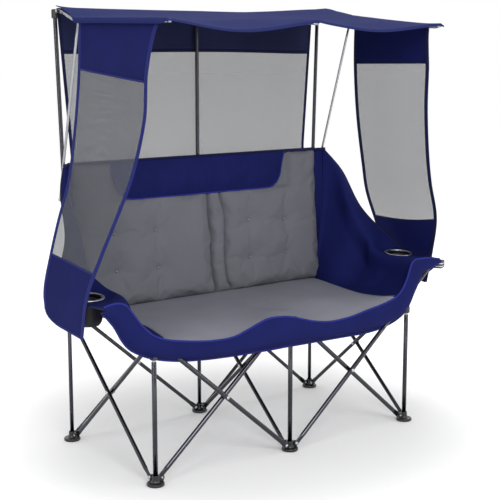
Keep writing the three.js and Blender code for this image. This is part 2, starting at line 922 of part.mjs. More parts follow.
const sides = [
  ["left", -1],
  ["right", 1],
];
sides.forEach(([name, way]) => {
  addPart(`${name}_pole_cap`, toGeometry(poleCap(way * capHalfX)), "plastic");
  addPart(`${name}_canopy_rib`, toGeometry(sideRib(way)), "bright");
  addPart(`${name}_canopy_strut`, toGeometry(strut(way)), "bright");
  addPart(`${name}_strut_collar`, toGeometry(strutCollar(way)), "plastic");
});
addPart("center_pole_cap", toGeometry(poleCap(0)), "plastic");
addPart("center_canopy_rib", toGeometry(centerRib()), "bright");

// Seat: its half-width from front to rear and the dip of its front edge, as shares
const seatSideShares = [
  [0, 0.94],
  [0.07, 0.885],
  [0.16, 0.872],
  [0.5, 0.887],
  [0.8, 0.955],
  [1, 1],
];
const seatFrontShares = [
  [0, -0.12],
  [0.1, 0],
  [0.3, 0.5],
  [0.62, 1],
  [0.85, 0.62],
  [1, 0.1],
];

function seatHalfAt(y) {
  return seatRearHalf * follow(seatSideShares, (y - seatFront) / (seatRear - seatFront));
}

// The seat's top at a share of its half-width and a share of its depth from the front
function seatHeight(s, v) {
  const dip = seatFrontSag * follow(seatFrontShares, Math.min(Math.abs(s), 1));
  const nearFront = Math.max(1 - v / 0.4, 0);
  const crown = seatCrown * Math.sin(Math.PI * v) * Math.sin(Math.PI * Math.abs(s));
  const peak = seatPeak * Math.max(1 - Math.abs(s) * 5, 0) * nearFront;
  return seatTop - dip * nearFront * nearFront + crown + peak;
}

// How far in from the edges the seat's pad is still thin
const seatEdgeShare = 0.13;

function seatPad() {
  const thickAt = (s, v) => {
    const fromFront = Math.min(Math.max((v - seatEdgeShare) / seatEdgeShare, 0), 1);
    const edge = fromFront * Math.min((1 - Math.abs(s)) / seatEdgeShare, 1);
    return mix(seatEdgeThick, seatThick, Math.sin((edge * Math.PI) / 2));
  };
  const face = (u, v, drop) => {
    const s = 2 * u - 1;
    const y = mix(seatFront, seatRear, v);
    return vec(s * seatHalfAt(y), y, seatHeight(s, v) - drop);
  };
  return padding(
    (u, v) => face(u, v, 0),
    (u, v) => face(u, v, thickAt(2 * u - 1, v)),
    20,
    10,
  );
}

// Back: the front face leans back with height
function backFaceY(z) {
  return backFrontBottom + (backLean * (z - backBottom)) / (backTop - backBottom);
}

function creaseX(z, top, bottom) {
  return mix(bottom, top, (z - backBottom) / (headrestBottom - backBottom));
}

// Rows of the back: three quarters of them lie below the headrest
function backRow(v) {
  const split = 3 / 4;
  if (v < split) {
    return mix(backBottom, headrestBottom, v / split);
  }
  return mix(headrestBottom, backTop, (v - split) / (1 - split));
}

function tuftPull(x, z) {
  let pull = 0;
  [tuftInner, tuftOuter].forEach((tx) => {
    [tuftUpper, tuftLower].forEach((tz) => {
      const far = Math.hypot(Math.abs(x) - tx, z - tz) / tuftRadius;
      pull += tuftDepth * Math.exp(-far * far);
    });
  });
  return pull;
}

// A pad of the back between two edges that are given at each height
function backPad(lowEdge, highEdge, crown, columns, rows, tufted) {
  const face = (u, v, front) => {
    const z = backRow(v);
    const x = mix(lowEdge(z), highEdge(z), u);
    const padded = Math.min(Math.max((z - backBottom) / (headrestBottom - backBottom), 0), 1);
    const swell = Math.sin(Math.PI * padded) ** 0.5 * Math.sin(Math.PI * u) ** 0.5;
    const edge = (backThick - backEdgeThick) * (1 - Math.min(Math.sin(Math.PI * u) * 4, 1));
    const pull = tufted ? tuftPull(x, z) * swell : 0;
    const y = backFaceY(z);
    return front
      ? vec(x, y + edge - crown * swell + pull, z)
      : vec(x, y + backThick, z);
  };
  return padding(
    (u, v) => face(u, v, true),
    (u, v) => face(u, v, false),
    columns,
    rows,
  );
}

const creaseLeft = (z) => creaseX(z, creaseTop, creaseBottom);
const creaseRight = (z) => creaseX(z, creaseTop + creaseBandTop, creaseBottom + creaseBandBottom);
const leftBack = backPad(() => -backHalf, (z) => creaseLeft(z) - seamGap, backCrown, 14, 16, true);
const middleBack = backPad(creaseLeft, creaseRight, backCrown, 4, 8, false);
const rightBack = backPad((z) => creaseRight(z) + seamGap, () => backHalf, backCrown, 14, 16, true);

// Headrest pad over the top of the back
function headrest() {
  const halfAt = (v) => {
    const low = Math.max((v - 0.55) / 0.45, 0);
    const corner = headrestCorner * (1 - Math.sqrt(1 - low * low));
    return headrestHalf - headrestInset * v - corner;
  };
  const face = (u, v, front) => {
    const s = 2 * u - 1;
    const z = mix(backTop, headrestBottom, v);
    const swell = (1 - s ** 6) * Math.sin(Math.PI * mix(0.12, 0.93, v));
    const y = backFaceY(z) - seamGap;
    const thick = mix(headrestEdgeThick, headrestThick, swell);
    return vec(s * halfAt(v), front ? y - thick : y, z);
  };
  return padding(
    (u, v) => face(u, v, true),
    (u, v) => face(u, v, false),
    16,
    7,
  );
}

// The band below the front edge of the seat runs up to the tips of the arms.
// Places are shares of its half-length and of its rise above the seat.
const bandTopShares = [
  [0, 0.04],
  [0.17, -0.05],
  [0.43, -0.27],
  [0.6, -0.14],
  [0.71, 0.02],
  [0.81, 0.26],
  [0.875, 0.46],
  [0.925, 0.76],
  [0.95, 1],
];
const bandBottomShares = [
  [0, -0.76],
  [0.17, -0.75],
  [0.43, -0.75],
  [0.62, -0.74],
  [0.73, -0.68],
  [0.81, -0.48],
  [0.89, -0.14],
  [0.955, 0.3],
  [1, 0.9],
];

function shareCurve(shares, depth) {
  return new THREE.CatmullRomCurve3(
    shares.map(([x, z]) => vec(x * bandEndHalf, depth, seatTop + z * bandRise)),
  );
}

function frontBand() {
  const front = bandFront;
  const back = bandFront + bandThick;
  const face = (u, v, depth) => {
    const s = Math.abs(2 * u - 1);
    const way = Math.sign(2 * u - 1);
    const top = shareCurve(bandTopShares, depth).getPoint(s);
    const low = shareCurve(bandBottomShares, depth).getPoint(s);
    const point = top.lerp(low, v);
    return vec(way * point.x, point.y, point.z);
  };
  return padding(
    (u, v) => face(u, v, front),
    (u, v) => face(u, v, back),
    28,
    3,
  );
}

// Arms. Along the arm from rear to front, as shares of its length:
// the top edge and the outer edge, each as shares of the reach from the rear half-width
// and of the rise from the panel to the rear top.
const armTopShares = [
  [0, 0, 1],
  [0.1, 0.16, 0.83],
  [0.26, 0.16, 0.45],
  [0.41, 0.26, 0.14],
  [0.51, 0.14, 0.04],
  [0.64, 0.1, 0.01],
  [0.83, 0.17, -0.01],
  [1, 0.36, -0.015],
];
const armOuterShares = [
  [0, 0.04, 0.985],
  [0.1, 0.28, 0.79],
  [0.26, 0.47, 0.41],
  [0.41, 0.88, 0.13],
  [0.51, 1, 0.035],
  [0.64, 1, -0.01],
  [0.83, 0.93, -0.03],
  [1, 0.66, -0.035],
];

function armCurve(shares) {
  return new THREE.CatmullRomCurve3(
    shares.map(([along, out, rise]) =>
      vec(
        mix(armRearHalf, armOuterHalf, out),
        mix(armRear, armFront, along),
        mix(armPanelHeight, armTopRear, rise),
      ),
    ),
    false,
    "centripetal",
  );
}

function armFootAt(y) {
  const inside = Math.min(Math.max(y, seatFront), seatRear);
  const v = (inside - seatFront) / (seatRear - seatFront);
  const x = seatHalfAt(inside) + armFootGap;
  return vec(x, y, seatHeight(1, v) + armThick / 2);
}

function arm(way) {
  const topCurve = armCurve(armTopShares);
  const outerCurve = armCurve(armOuterShares);
  const middle = (u, v) => {
    const top = topCurve.getPoint(u);
    const outer = outerCurve.getPoint(u);
    const base = armFootAt(Math.min(top.y, seatRear));
    const line = new THREE.CatmullRomCurve3([
      base,
      base.clone().lerp(top, 1 / 3).add(vec(armThick, 0, -armThick)),
      base.clone().lerp(top, 2 / 3).add(vec(armThick, 0, -armThick)),
      top,
      outer,
    ]);
    return line.getPoint(v);
  };
  const step = 1 / 200;
  const face = (u, v, lift) => {
    const at = middle(u, v);
    const du = middle(Math.min(u + step, 1), v).sub(middle(Math.max(u - step, 0), v));
    const dv = middle(u, Math.min(v + step, 1)).sub(middle(u, Math.max(v - step, 0)));
    const normal = du.cross(dv).normalize();
    at.addScaledVector(normal, lift);
    at.x *= way;
    return at;
  };
  const sheet = padding(
    (u, v) => face(u, v, armThick / 2),
    (u, v) => face(u, v, -armThick / 2),
    16,
    8,
  );
  const hole = rod(
    vec(way * cupX, cupY, cupZ - cupRingDiameter / 2),
    vec(way * cupX, cupY, cupZ + cupRingDiameter / 2),
    cupRingDiameter + 2 * cupHoleGap,
    roundSides,
  );
  return toGeometry(toSolid(outward(sheet)).subtract(hole));
}

function cupRing(way) {
  const outer = cupRingDiameter / 2;
  const inner = outer - cupRingWide;
  const low = cupZ - cupRingTall / 2;
  const high = cupZ + cupRingTall / 2;
  const edge = cupRingWide / 4;
  const profile = [
    [inner, low],
    [outer, low],
    [outer, high - edge],
    [outer - edge, high],
    [inner + edge, high],
    [inner, high - edge],
    [inner, low],
  ];
  return turned(profile, way * cupX, cupY, roundSides);
}

// A net pouch hangs under each cup ring
function netPouch(way) {
  const high = cupZ - cupRingTall / 2 - runGap;
  const low = high - pouchDepth;
  const rim = pouchDiameter / 2;
  const floor = pouchFloorDiameter / 2;
  const shoulder = low + pouchDepth / 6;
  const profile = [
    [0, low],
    [floor, low],
    [rim, shoulder],
    [rim, high],
    [rim - pouchWall, high],
    [rim - pouchWall, shoulder],
    [floor - pouchWall, low + pouchWall],
    [0, low + pouchWall],
  ];
  return turned(profile, way * cupX, cupY, roundSides);
}

// The stem-glass holder on the right arm: a padded tongue with a slot in its end
function glassHolder() {
  const half = holderWide / 2;
  const slot = holderSlotWide / 2;
  const shape = new THREE.Shape();
  shape.moveTo(0, -half);
  shape.lineTo(holderLong - holderCorner, -half);
  shape.quadraticCurveTo(holderLong, -half, holderLong, -half + holderCorner);
  shape.lineTo(holderLong, -slot);
  shape.lineTo(holderLong - holderSlotLong, -slot);
  shape.quadraticCurveTo(holderLong - holderSlotLong - slot, 0, holderLong - holderSlotLong, slot);
  shape.lineTo(holderLong, slot);
  shape.lineTo(holderLong, half - holderCorner);
  shape.quadraticCurveTo(holderLong, half, holderLong - holderCorner, half);
  shape.lineTo(0, half);
  shape.closePath();
  const geometry = new THREE.ExtrudeGeometry(shape, {
    depth: holderTall,
    bevelEnabled: false,
    curveSegments: 4,
  });
  geometry.rotateZ(-Math.PI / 2 + holderTurn);
  geometry.translate(holderX, holderY, holderTop - holderTall);
  return geometry;
}

addPart("seat_pad", outward(seatPad()), "grey");
addPart("left_back_pad", outward(leftBack), "grey");
addPart("middle_back_pad", outward(middleBack), "grey");
addPart("right_back_pad", outward(rightBack), "grey");
addPart("headrest_pad", outward(headrest()), "navy");
addPart("front_band", outward(frontBand()), "navy");
sides.forEach(([name, way]) => {
  addPart(`${name}_arm`, arm(way), "navy");
  addPart(`${name}_cup_ring`, cupRing(way), "plastic");
  addPart(`${name}_net_pouch`, netPouch(way), "net");
});
addPart("glass_holder", glassHolder(), "navy");

// Canopy cloth. The sides of the sail follow the side ribs, its middle the centre rib.
const rightRibLine = ribStations(sideRibPoints(1)).map(({ at }) => at);

// The point of the right-hand rib's axis at a depth y
function sideRibAt(y) {
  const clamped = Math.min(Math.max(y, ribFront.y), ribPivotY);
  let i = 1;
  while (i < rightRibLine.length - 1 && rightRibLine[i].y > clamped) {
    i += 1;
  }
  const a = rightRibLine[i - 1];
  const b = rightRibLine[i];
  return a.clone().lerp(b, Math.min(Math.max((a.y - clamped) / (a.y - b.y), 0), 1));
}

function centerRibHeight(y) {
  return mix(ribPivotHeight, ribFront.z, (ribPivotY - Math.min(y, ribPivotY)) / canopyAhead);
}

const sailRest = ribTube / 2 + seamGap + clothThick / 2;

// The middle of the sail's cloth at a share s of its half-width
function sailHeight(s, y) {
  const across = Math.abs(s);
  const rearShare = Math.max((y - ribPivotY) / (sailRear - ribPivotY), 0);
  const overCaps = Math.min(Math.max((y - elbow.y) / elbowAhead, 0) * 2, 1);
  const overRibs = mix(centerRibHeight(y), sideRibAt(y).z, across * across);
  const sag = sailSag * Math.sin(Math.PI * across) ** 4;
  const corner = sailCornerRise * rearShare * across ** 8;
  return overRibs + sailRest - sag + corner + sailCapLift * overCaps;
}

function sailHalfAt(y) {
  if (y > elbow.y) {
    return mix(sailRearHalf, sailElbowHalf, (sailRear - y) / (sailRear - elbow.y));
  }
  return mix(sailElbowHalf, sailFrontHalf, (elbow.y - y) / (elbow.y - sailFront));
}

function sail() {
  const face = (u, v, lift) => {
    const s = 2 * u - 1;
    const y = mix(sailRear, sailFront, v);
    const bow = sailPeakDrop * Math.sin(Math.PI * Math.abs(s)) ** 2 * Math.max(v * 8 - 7, 0);
    return vec(s * sailHalfAt(y), y, sailHeight(s, y) - bow + lift);
  };
  return padding(
    (u, v) => face(u, v, clothThick / 2),
    (u, v) => face(u, v, -clothThick / 2),
    16,
    11,
  );
}

function rearPanel() {
  const face = (u, v, depth) => {
    const s = 2 * u - 1;
    const half = mix(panelTopHalf, panelBottomHalf, Math.min(v * 1.1, 1));
    const top = sailHeight((s * panelTopHalf) / sailRearHalf, panelY) - clothThick / 2 - panelHang;
    return vec(s * half, panelY + depth, mix(top, panelBottom, v));
  };
  return padding(
    (u, v) => face(u, v, -clothThick / 2),
    (u, v) => face(u, v, clothThick / 2),
    14,
    3,
  );
}

// Side curtains: rear and front edges from top to bottom, as shares of the outward
// reach beyond the pole, of the reach ahead of the rib's line, and of the drop.
const curtainRearShares = [
  [0.21, 0.72, 0],
  [0.22, 0.73, 0.15],
  [0.31, 0.725, 0.355],
  [0.47, 0.72, 0.555],
  [0.63, 0.728, 0.672],
  [0.81, 0.7, 0.782],
  [0.985, 0.675, 0.9],
  [1, 0.67, 1],
];
const curtainFrontShares = [
  [0.04, 0, 0],
  [0.19, 0.07, 0.155],
  [0.24, 0.08, 0.31],
  [0.39, 0.095, 0.487],
  [0.55, 0.112, 0.592],
  [0.81, 0.145, 0.733],
  [0.98, 0.235, 0.865],
  [1, 0.31, 1],
];

function curtainEdge(shares, bottom) {
  const top = ribPivotHeight - elbowDrop;
  return new THREE.CatmullRomCurve3(
    shares.map(([out, back, drop]) =>
      vec(
        mix(bayWidth, curtainOut, out),
        mix(curtainTopFront, curtainTopRear, back / curtainRearShares[0][1]),
        mix(top, bottom, drop),
      ),
    ),
    false,
    "centripetal",
  );
}

function curtain(way) {
  const rear = curtainEdge(curtainRearShares, curtainBottomRear);
  const front = curtainEdge(curtainFrontShares, curtainBottomFront);
  const hangFrom = (y) => sideRibAt(y).z - ribTube / 2 - seamGap;
  const face = (u, v, lift) => {
    const at = rear.getPoint(v).lerp(front.getPoint(v), u);
    const nearTop = Math.max(1 - v * 7, 0);
    at.z = mix(at.z, hangFrom(at.y), nearTop);
    at.x = mix(at.x, sideRibAt(at.y).x, nearTop);
    const wave = curtainWave * Math.sin(3 * Math.PI * u) * Math.sin(Math.PI * Math.min(v * 1.6, 1));
    return vec(way * (at.x + wave + lift), at.y, at.z);
  };
  return padding(
    (u, v) => face(u, v, curtainThick / 2),
    (u, v) => face(u, v, -curtainThick / 2),
    8,
    13,
  );
}

addPart("canopy_sail", outward(sail()), "sail");
addPart("rear_panel", outward(rearPanel()), "mesh");
sides.forEach(([name, way]) => addPart(`${name}_curtain`, outward(curtain(way)), "navy"));

// The origin lies on the ground below the middle of the whole chair
const rearReach = (bayDepth + footDiameter) / 2;
model.position.y = -(rearReach + sailFront) / 2;

const example = new THREE.Group();
example.add(model);
export default example;
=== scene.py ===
# %% [markdown]
# # A folding camp loveseat with a sun canopy
# Two people sit side by side on one slung seat. Six posts stand on round feet, and crossing
# pairs of braces join them, so that the whole frame closes at once. A canopy on three ribs
# turns on the tops of the rear poles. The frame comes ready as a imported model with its
# joints. This script dresses it, and leaves every joint where it is.

import json
import math

import bmesh
import bpy
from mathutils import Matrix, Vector, noise

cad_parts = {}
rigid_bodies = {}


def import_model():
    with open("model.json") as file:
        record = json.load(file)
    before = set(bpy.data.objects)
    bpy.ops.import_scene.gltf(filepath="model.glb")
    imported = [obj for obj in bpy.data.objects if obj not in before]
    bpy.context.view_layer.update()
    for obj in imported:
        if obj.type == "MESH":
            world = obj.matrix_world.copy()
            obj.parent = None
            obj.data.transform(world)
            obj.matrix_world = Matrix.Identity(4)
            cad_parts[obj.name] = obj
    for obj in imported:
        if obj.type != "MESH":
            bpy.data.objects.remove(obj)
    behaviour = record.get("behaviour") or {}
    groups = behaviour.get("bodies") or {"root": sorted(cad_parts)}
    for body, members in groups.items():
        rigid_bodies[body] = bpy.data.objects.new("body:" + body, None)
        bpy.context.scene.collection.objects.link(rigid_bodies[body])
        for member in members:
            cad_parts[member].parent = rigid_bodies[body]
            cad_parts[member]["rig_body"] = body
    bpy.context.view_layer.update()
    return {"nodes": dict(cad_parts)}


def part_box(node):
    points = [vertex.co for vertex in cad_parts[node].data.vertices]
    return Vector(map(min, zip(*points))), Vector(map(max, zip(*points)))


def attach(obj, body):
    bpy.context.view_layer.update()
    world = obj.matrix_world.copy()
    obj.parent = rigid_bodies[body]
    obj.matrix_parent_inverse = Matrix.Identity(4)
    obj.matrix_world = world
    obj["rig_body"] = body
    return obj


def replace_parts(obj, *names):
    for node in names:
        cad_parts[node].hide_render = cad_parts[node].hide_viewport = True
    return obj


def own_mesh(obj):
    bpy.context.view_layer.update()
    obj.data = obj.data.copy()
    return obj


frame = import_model()

# %% [markdown]
# ## Places
# Lengths are in millimetres, as on a maker's drawing, and one function turns them into
# metres. Depths are counted from the middle between the front and rear posts, which the
# packed posts themselves give, so nothing has to be fitted by eye.

# %% Places read from the frame
MM = 0.001


def centre(node):
    low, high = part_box(node)
    return (low + high) / 2 / MM


POST_Y = centre("front_center_post").y
POLE_Y = centre("rear_center_pole").y
MIDDLE_Y = (POST_Y + POLE_Y) / 2
BAY_WIDTH = centre("front_right_post").x
BAY_DEPTH = POLE_Y - POST_Y
REAR = BAY_DEPTH / 2
SIDES = (("left", -1), ("right", 1))
print("bays:", round(BAY_WIDTH), "by", round(BAY_DEPTH), "mm")


def spot(point):
    return Vector((point.x, point.y + MIDDLE_Y, point.z)) * MM


def vec(x, y, z):
    return Vector((x, y, z))


def mix(a, b, t):
    return a + (b - a) * t


def clamp(value, low=0, high=1):
    return min(max(value, low), high)


def ease(t):
    t = clamp(t)
    return t * t * (3 - 2 * t)


def show(name, data):
    """A new object in the scene, with a mesh, a lamp or a camera."""
    made = bpy.data.objects.new(name, data)
    bpy.context.scene.collection.objects.link(made)
    return made


# %% [markdown]
# ## Camera
# The photograph was taken from the front left, a little above the arms, with a long lens.
# The place comes from lining up the feet, the pole tops and the hubs.

# %% Camera
CAMERA_PLACE = (-2421, -3245, 1360)
CAMERA_TURN = 37.12
CAMERA_DIP = 9.73
LENS = 83.1

camera_data = bpy.data.cameras.new("camera")
camera_data.lens = LENS
camera_data.sensor_width = 36
camera = show("camera", camera_data)
camera.location = spot(vec(*CAMERA_PLACE))
camera.rotation_euler = (math.radians(90 - CAMERA_DIP), 0, math.radians(-CAMERA_TURN))
bpy.context.scene.camera = camera
bpy.context.scene.view_settings.view_transform = "Standard"
print("lens:", LENS, "mm")

# %% [markdown]
# ## Finishes
# A finish starts from what the real one is. One function turns a hex colour into the linear
# numbers of a shader, one adds a node with its settings and links, and one ends a finish
# with its two colours and its relief.

# %% Helpers for finishes
def linear(text):
    shares = [int(text[i:i + 2], 16) / 255 for i in (1, 3, 5)]
    return [c / 12.92 if c <= 0.04045 else ((c + 0.055) / 1.055) ** 2.4 for c in shares] + [1]


def add(tree, kind, inputs=None, **settings):
    made = tree.nodes.new(kind)
    for name, value in settings.items():
        setattr(made, name, value)
    for name, value in (inputs or {}).items():
        if isinstance(value, bpy.types.NodeSocket):
            tree.links.new(value, made.inputs[name])
        else:
            made.inputs[name].default_value = value
    return made


def start(name, **values):
    material = bpy.data.materials.new(name)
    material.use_nodes = True
    shader = material.node_tree.nodes["Principled BSDF"]
    for socket, value in values.items():
        shader.inputs[socket.replace("_", " ")].default_value = value
    return material, material.node_tree, shader


def dress(tree, shader, share, darker, lighter, height=None, strength=0, depth=0):
    """Blends two colours by a share. With a height the surface has that relief, in mm."""
    colours = add(tree, "ShaderNodeMix",
                  {"Factor": share, 6: linear(darker), 7: linear(lighter)}, data_type="RGBA")
    tree.links.new(colours.outputs[2], shader.inputs["Base Color"])
    if height is not None:
        raised = add(tree, "ShaderNodeBump",
                     {"Strength": strength, "Distance": depth * MM, "Height": height})
        tree.links.new(raised.outputs[0], shader.inputs["Normal"])


# %% [markdown]
# ### Woven polyester
# The cloth is a plain weave of 600-denier polyester yarn, dyed before weaving and coated
# on the inside. Its threads lie 0.6 mm apart, which is too fine to show, so they are drawn
# 1.8 mm apart. The product of two sine waves gives the over and under of a plain weave.
# A wide soft noise stands for the small differences between dye lots and wear.

# %% Woven polyester
THREAD = 1.8
THREAD_RELIEF = 0.3
THREAD_CONTRAST = 0.16
CLOTH_GLOSS = 0.06


def woven(name, colour, darker, roughness):
    material, tree, shader = start(name, Roughness=roughness, Specular_IOR_Level=CLOTH_GLOSS)
    place = add(tree, "ShaderNodeTexCoord")
    turns = math.pi / (THREAD * MM)
    scaled = add(tree, "ShaderNodeVectorMath",
                 {0: place.outputs["UV"], 1: (turns, turns, 0)}, operation="MULTIPLY")
    parts = add(tree, "ShaderNodeSeparateXYZ", {0: scaled.outputs[0]})
    warp = add(tree, "ShaderNodeMath", {0: parts.outputs["X"]}, operation="SINE")
    weft = add(tree, "ShaderNodeMath", {0: parts.outputs["Y"]}, operation="SINE")
    weave = add(tree, "ShaderNodeMath", {0: warp.outputs[0], 1: weft.outputs[0]},
                operation="MULTIPLY")
    clouds = add(tree, "ShaderNodeTexNoise",
                 {"Vector": place.outputs["Object"], "Scale": 9, "Detail": 5})
    share = add(tree, "ShaderNodeMath",
                {0: weave.outputs[0], 1: THREAD_CONTRAST, 2: clouds.outputs["Fac"]},
                operation="MULTIPLY_ADD")
    dress(tree, shader, share.outputs[0], darker, colour, weave.outputs[0], 0.35, THREAD_RELIEF)
    return material


navy_cloth = woven("navy woven polyester", "#1a205a", "#131746", 0.72)
# The sail's underside is painted near black: painted shade, for the shade under the canopy.
sail_underside_painted_shade = woven("navy polyester underside in painted shade", "#0b0c36", "#070828", 0.6)
screen_cloth = woven("navy woven polyester of the rear screen", "#2b2f52", "#242847", 0.75)
# The sail's top is a lighter navy than the navy cloth: painted light from above.
sail_cloth_painted_light = woven("navy woven polyester lightened as painted light", "#272e61", "#212754", 0.8)
# The seat's grey is painted lighter than its own, as painted light that makes up for the shade under the
# sail.
seat_cloth_painted_light = woven("grey woven polyester for the seat", "#898a94", "#7d7e87", 0.8)
back_cloth = woven("grey woven polyester for the back", "#6e6f76", "#64656b", 0.8)
print("woven cloths:", 6, "thread spacing:", THREAD, "mm")

# %% [markdown]
# ### Bindings and piping
# The edges are bound with folded grosgrain tape, whose fine cross ribs catch the light in
# lines, and the seams carry a round piping of the navy cloth. Both are swept along the
# edges, with their length as the second pattern axis, so the ribs lie across the tape.

# %% Bindings and piping
TAPE_RIB = 2.2


def ribbed(name, colour, darker, roughness):
    material, tree, shader = start(name, Roughness=roughness, Specular_IOR_Level=CLOTH_GLOSS)
    place = add(tree, "ShaderNodeTexCoord")
    parts = add(tree, "ShaderNodeSeparateXYZ", {0: place.outputs["UV"]})
    turns = 2 * math.pi / (TAPE_RIB * MM)
    scaled = add(tree, "ShaderNodeMath", {0: parts.outputs["Y"], 1: turns}, operation="MULTIPLY")
    rib = add(tree, "ShaderNodeMath", {0: scaled.outputs[0]}, operation="SINE")
    share = add(tree, "ShaderNodeMath", {0: rib.outputs[0], 1: 0.5, 2: 0.5},
                operation="MULTIPLY_ADD")
    dress(tree, shader, share.outputs[0], darker, colour, rib.outputs[0], 0.4, THREAD_RELIEF)
    return material


tape = ribbed("navy grosgrain tape", "#272c6a", "#1e2257", 0.6)
# The dark tape is a real darker tape on the back, arms and screen. On the right curtain it is painted
# shade, for that curtain's inner face under the canopy.
dark_tape_and_painted_shade = ribbed("dark grosgrain tape, also painted shade", "#22254a", "#191b3a", 0.6)
# The piping is of the navy cloth, painted a brighter blue: painted light.
piping_cloth_painted_light = ribbed("navy piping lightened as painted light", "#2c3284", "#242970", 0.55)
print("tapes and piping:", 3, "rib spacing:", TAPE_RIB, "mm")

# %% [markdown]
# ### Sun mesh
# The panels are a warp-knitted polyester mesh. About a third of it is open, so what lies
# behind shows through, greyed. The knit repeats every 1.2 mm, and it is drawn twice as
# coarse, so that its diagonal rows can just be seen. Alpha opens the holes. Each face of the
# thin cloth takes part of the light, and a hole is drawn as a thin veil, not as a sharp cut,
# because sharp holes in the two faces would beat against each other.

# %% Sun mesh
MESH_CELL = 2.4
KNIT_RELIEF = 0.4
HOLE_EDGE = 0.56
HOLE_COVER = 0.24
YARN_COVER = 0.6


def knitted(name, colour, darker):
    material, tree, shader = start(name, Roughness=0.8, Specular_IOR_Level=CLOTH_GLOSS)
    place = add(tree, "ShaderNodeTexCoord")
    parts = add(tree, "ShaderNodeSeparateXYZ", {0: place.outputs["UV"]})
    both = add(tree, "ShaderNodeMath", {0: parts.outputs["X"], 1: parts.outputs["Y"]},
               operation="ADD")
    apart = add(tree, "ShaderNodeMath", {0: parts.outputs["X"], 1: parts.outputs["Y"]},
                operation="SUBTRACT")
    turns = math.pi / (MESH_CELL * MM)
    waves = []
    for diagonal in (both, apart):
        scaled = add(tree, "ShaderNodeMath", {0: diagonal.outputs[0], 1: turns},
                     operation="MULTIPLY")
        wave = add(tree, "ShaderNodeMath", {0: scaled.outputs[0]}, operation="SINE")
        size = add(tree, "ShaderNodeMath", {0: wave.outputs[0]}, operation="ABSOLUTE")
        waves.append(size.outputs[0])
    lowest = add(tree, "ShaderNodeMath", {0: waves[0], 1: waves[1]}, operation="MINIMUM")
    yarn = add(tree, "ShaderNodeMath", {0: lowest.outputs[0], 1: HOLE_EDGE},
               operation="LESS_THAN")
    clouds = add(tree, "ShaderNodeTexNoise",
                 {"Vector": place.outputs["Object"], "Scale": 14, "Detail": 3})
    dress(tree, shader, clouds.outputs["Fac"], darker, colour, lowest.outputs[0], 0.3, KNIT_RELIEF)
    cover = add(tree, "ShaderNodeMapRange",
                {"Value": yarn.outputs[0], "To Min": HOLE_COVER, "To Max": YARN_COVER})
    tree.links.new(cover.outputs[0], shader.inputs["Alpha"])
    return material


sun_mesh = knitted("grey knitted sun mesh", "#63656c", "#5b5d63")
print("mesh cell:", MESH_CELL, "mm")

# %% [markdown]
# ### Tubes, plastic and rivets
# The tubes are steel with a dark gunmetal coat, smooth enough to draw a thin bright line
# from each lamp. The canopy's tubes are lighter, clear-anodised aluminium. Feet, hubs and
# caps are moulded ABS with a faint grain, and the rivets are zinc-plated steel.

# %% Tubes, plastic and rivets
PLASTIC_GRAIN = 900
PLASTIC_RELIEF = 0.2
PLASTIC_SHEEN = "#1c1c20"


def metal(name, colour, darker, low, high, grain):
    material, tree, shader = start(name, Metallic=1)
    place = add(tree, "ShaderNodeTexCoord")
    clouds = add(tree, "ShaderNodeTexNoise",
                 {"Vector": place.outputs["Object"], "Scale": grain, "Detail": 6})
    rough = add(tree, "ShaderNodeMapRange",
                {"Value": clouds.outputs["Fac"], "To Min": low, "To Max": high})
    tree.links.new(rough.outputs[0], shader.inputs["Roughness"])
    dress(tree, shader, clouds.outputs["Fac"], darker, colour)
    return material


gunmetal = metal("gunmetal-coated steel tube", "#4c4c52", "#3e3e44", 0.09, 0.18, 60)
aluminium = metal("clear-anodised aluminium tube", "#a0a2a7", "#8d8f95", 0.2, 0.32, 60)
zinc = metal("zinc-plated steel rivet", "#c4c6ca", "#a9abb0", 0.22, 0.4, 160)


def moulded(name, colour, roughness):
    material, tree, shader = start(name, Roughness=roughness, IOR=1.54)
    place = add(tree, "ShaderNodeTexCoord")
    speckle = add(tree, "ShaderNodeTexNoise",
                  {"Vector": place.outputs["Object"], "Scale": PLASTIC_GRAIN, "Detail": 2})
    grain = speckle.outputs["Fac"]
    dress(tree, shader, grain, colour, PLASTIC_SHEEN, grain, 0.12, PLASTIC_RELIEF)
    return material


black_plastic = moulded("black moulded ABS", "#08080a", 0.24)
net_cord = moulded("dark nylon net cord", "#0b0c26", 0.5)
button_cover = moulded("grey pressed button", "#8d8e94", 0.32)
silver_tape = metal("silver reflective tape", "#d0d2d6", "#b4b6ba", 0.3, 0.45, 300)
print("finishes:", len(bpy.data.materials))

# %% [markdown]
# ## Shapes
# A shape is a list of points, a list of faces and a place on the cloth for each point.
# Four kinds make everything hard on the frame: a tube through stations, a turned part, a
# plate with an outline, and a rivet's dome.

# %% Helpers for shapes
TUBE_SIDES = 20
# How much cloth pattern goes round a tape or piping, in metres
TUBE_ROUND = 0.02


def frame_of(axis):
    axis = axis.normalized()
    side = axis.cross(vec(0, 0, 1))
    if side.length < 0.1:
        side = axis.cross(vec(0, 1, 0))
    side.normalize()
    return side, axis.cross(side)


def tube(stations, flat, sides=TUBE_SIDES, square=1):
    """A closed tube through (point, wide, thick), thin along flat. A low square makes it boxy."""
    points, faces, places = [], [], []
    length = 0
    for i, (at, wide, thick) in enumerate(stations):
        before = stations[max(i - 1, 0)][0]
        after = stations[min(i + 1, len(stations) - 1)][0]
        length += (at - before).length
        ahead = (after - before).normalized()
        side = flat.cross(ahead).normalized()
        up = ahead.cross(side)
        for k in range(sides):
            turn = 2 * math.pi * (k + 0.5) / sides
            c, s = math.cos(turn), math.sin(turn)
            c = math.copysign(abs(c) ** square, c)
            s = math.copysign(abs(s) ** square, s)
            points.append(at + side * (wide / 2 * c) + up * (thick / 2 * s))
            places.append((k / sides * TUBE_ROUND, length * MM))
    for i in range(len(stations) - 1):
        for k in range(sides):
            a, b = i * sides + k, i * sides + (k + 1) % sides
            faces.append((a, b, b + sides, a + sides))
    last = (len(stations) - 1) * sides
    faces.append(tuple(reversed(range(sides))))
    faces.append(tuple(range(last, last + sides)))
    return points, faces, places


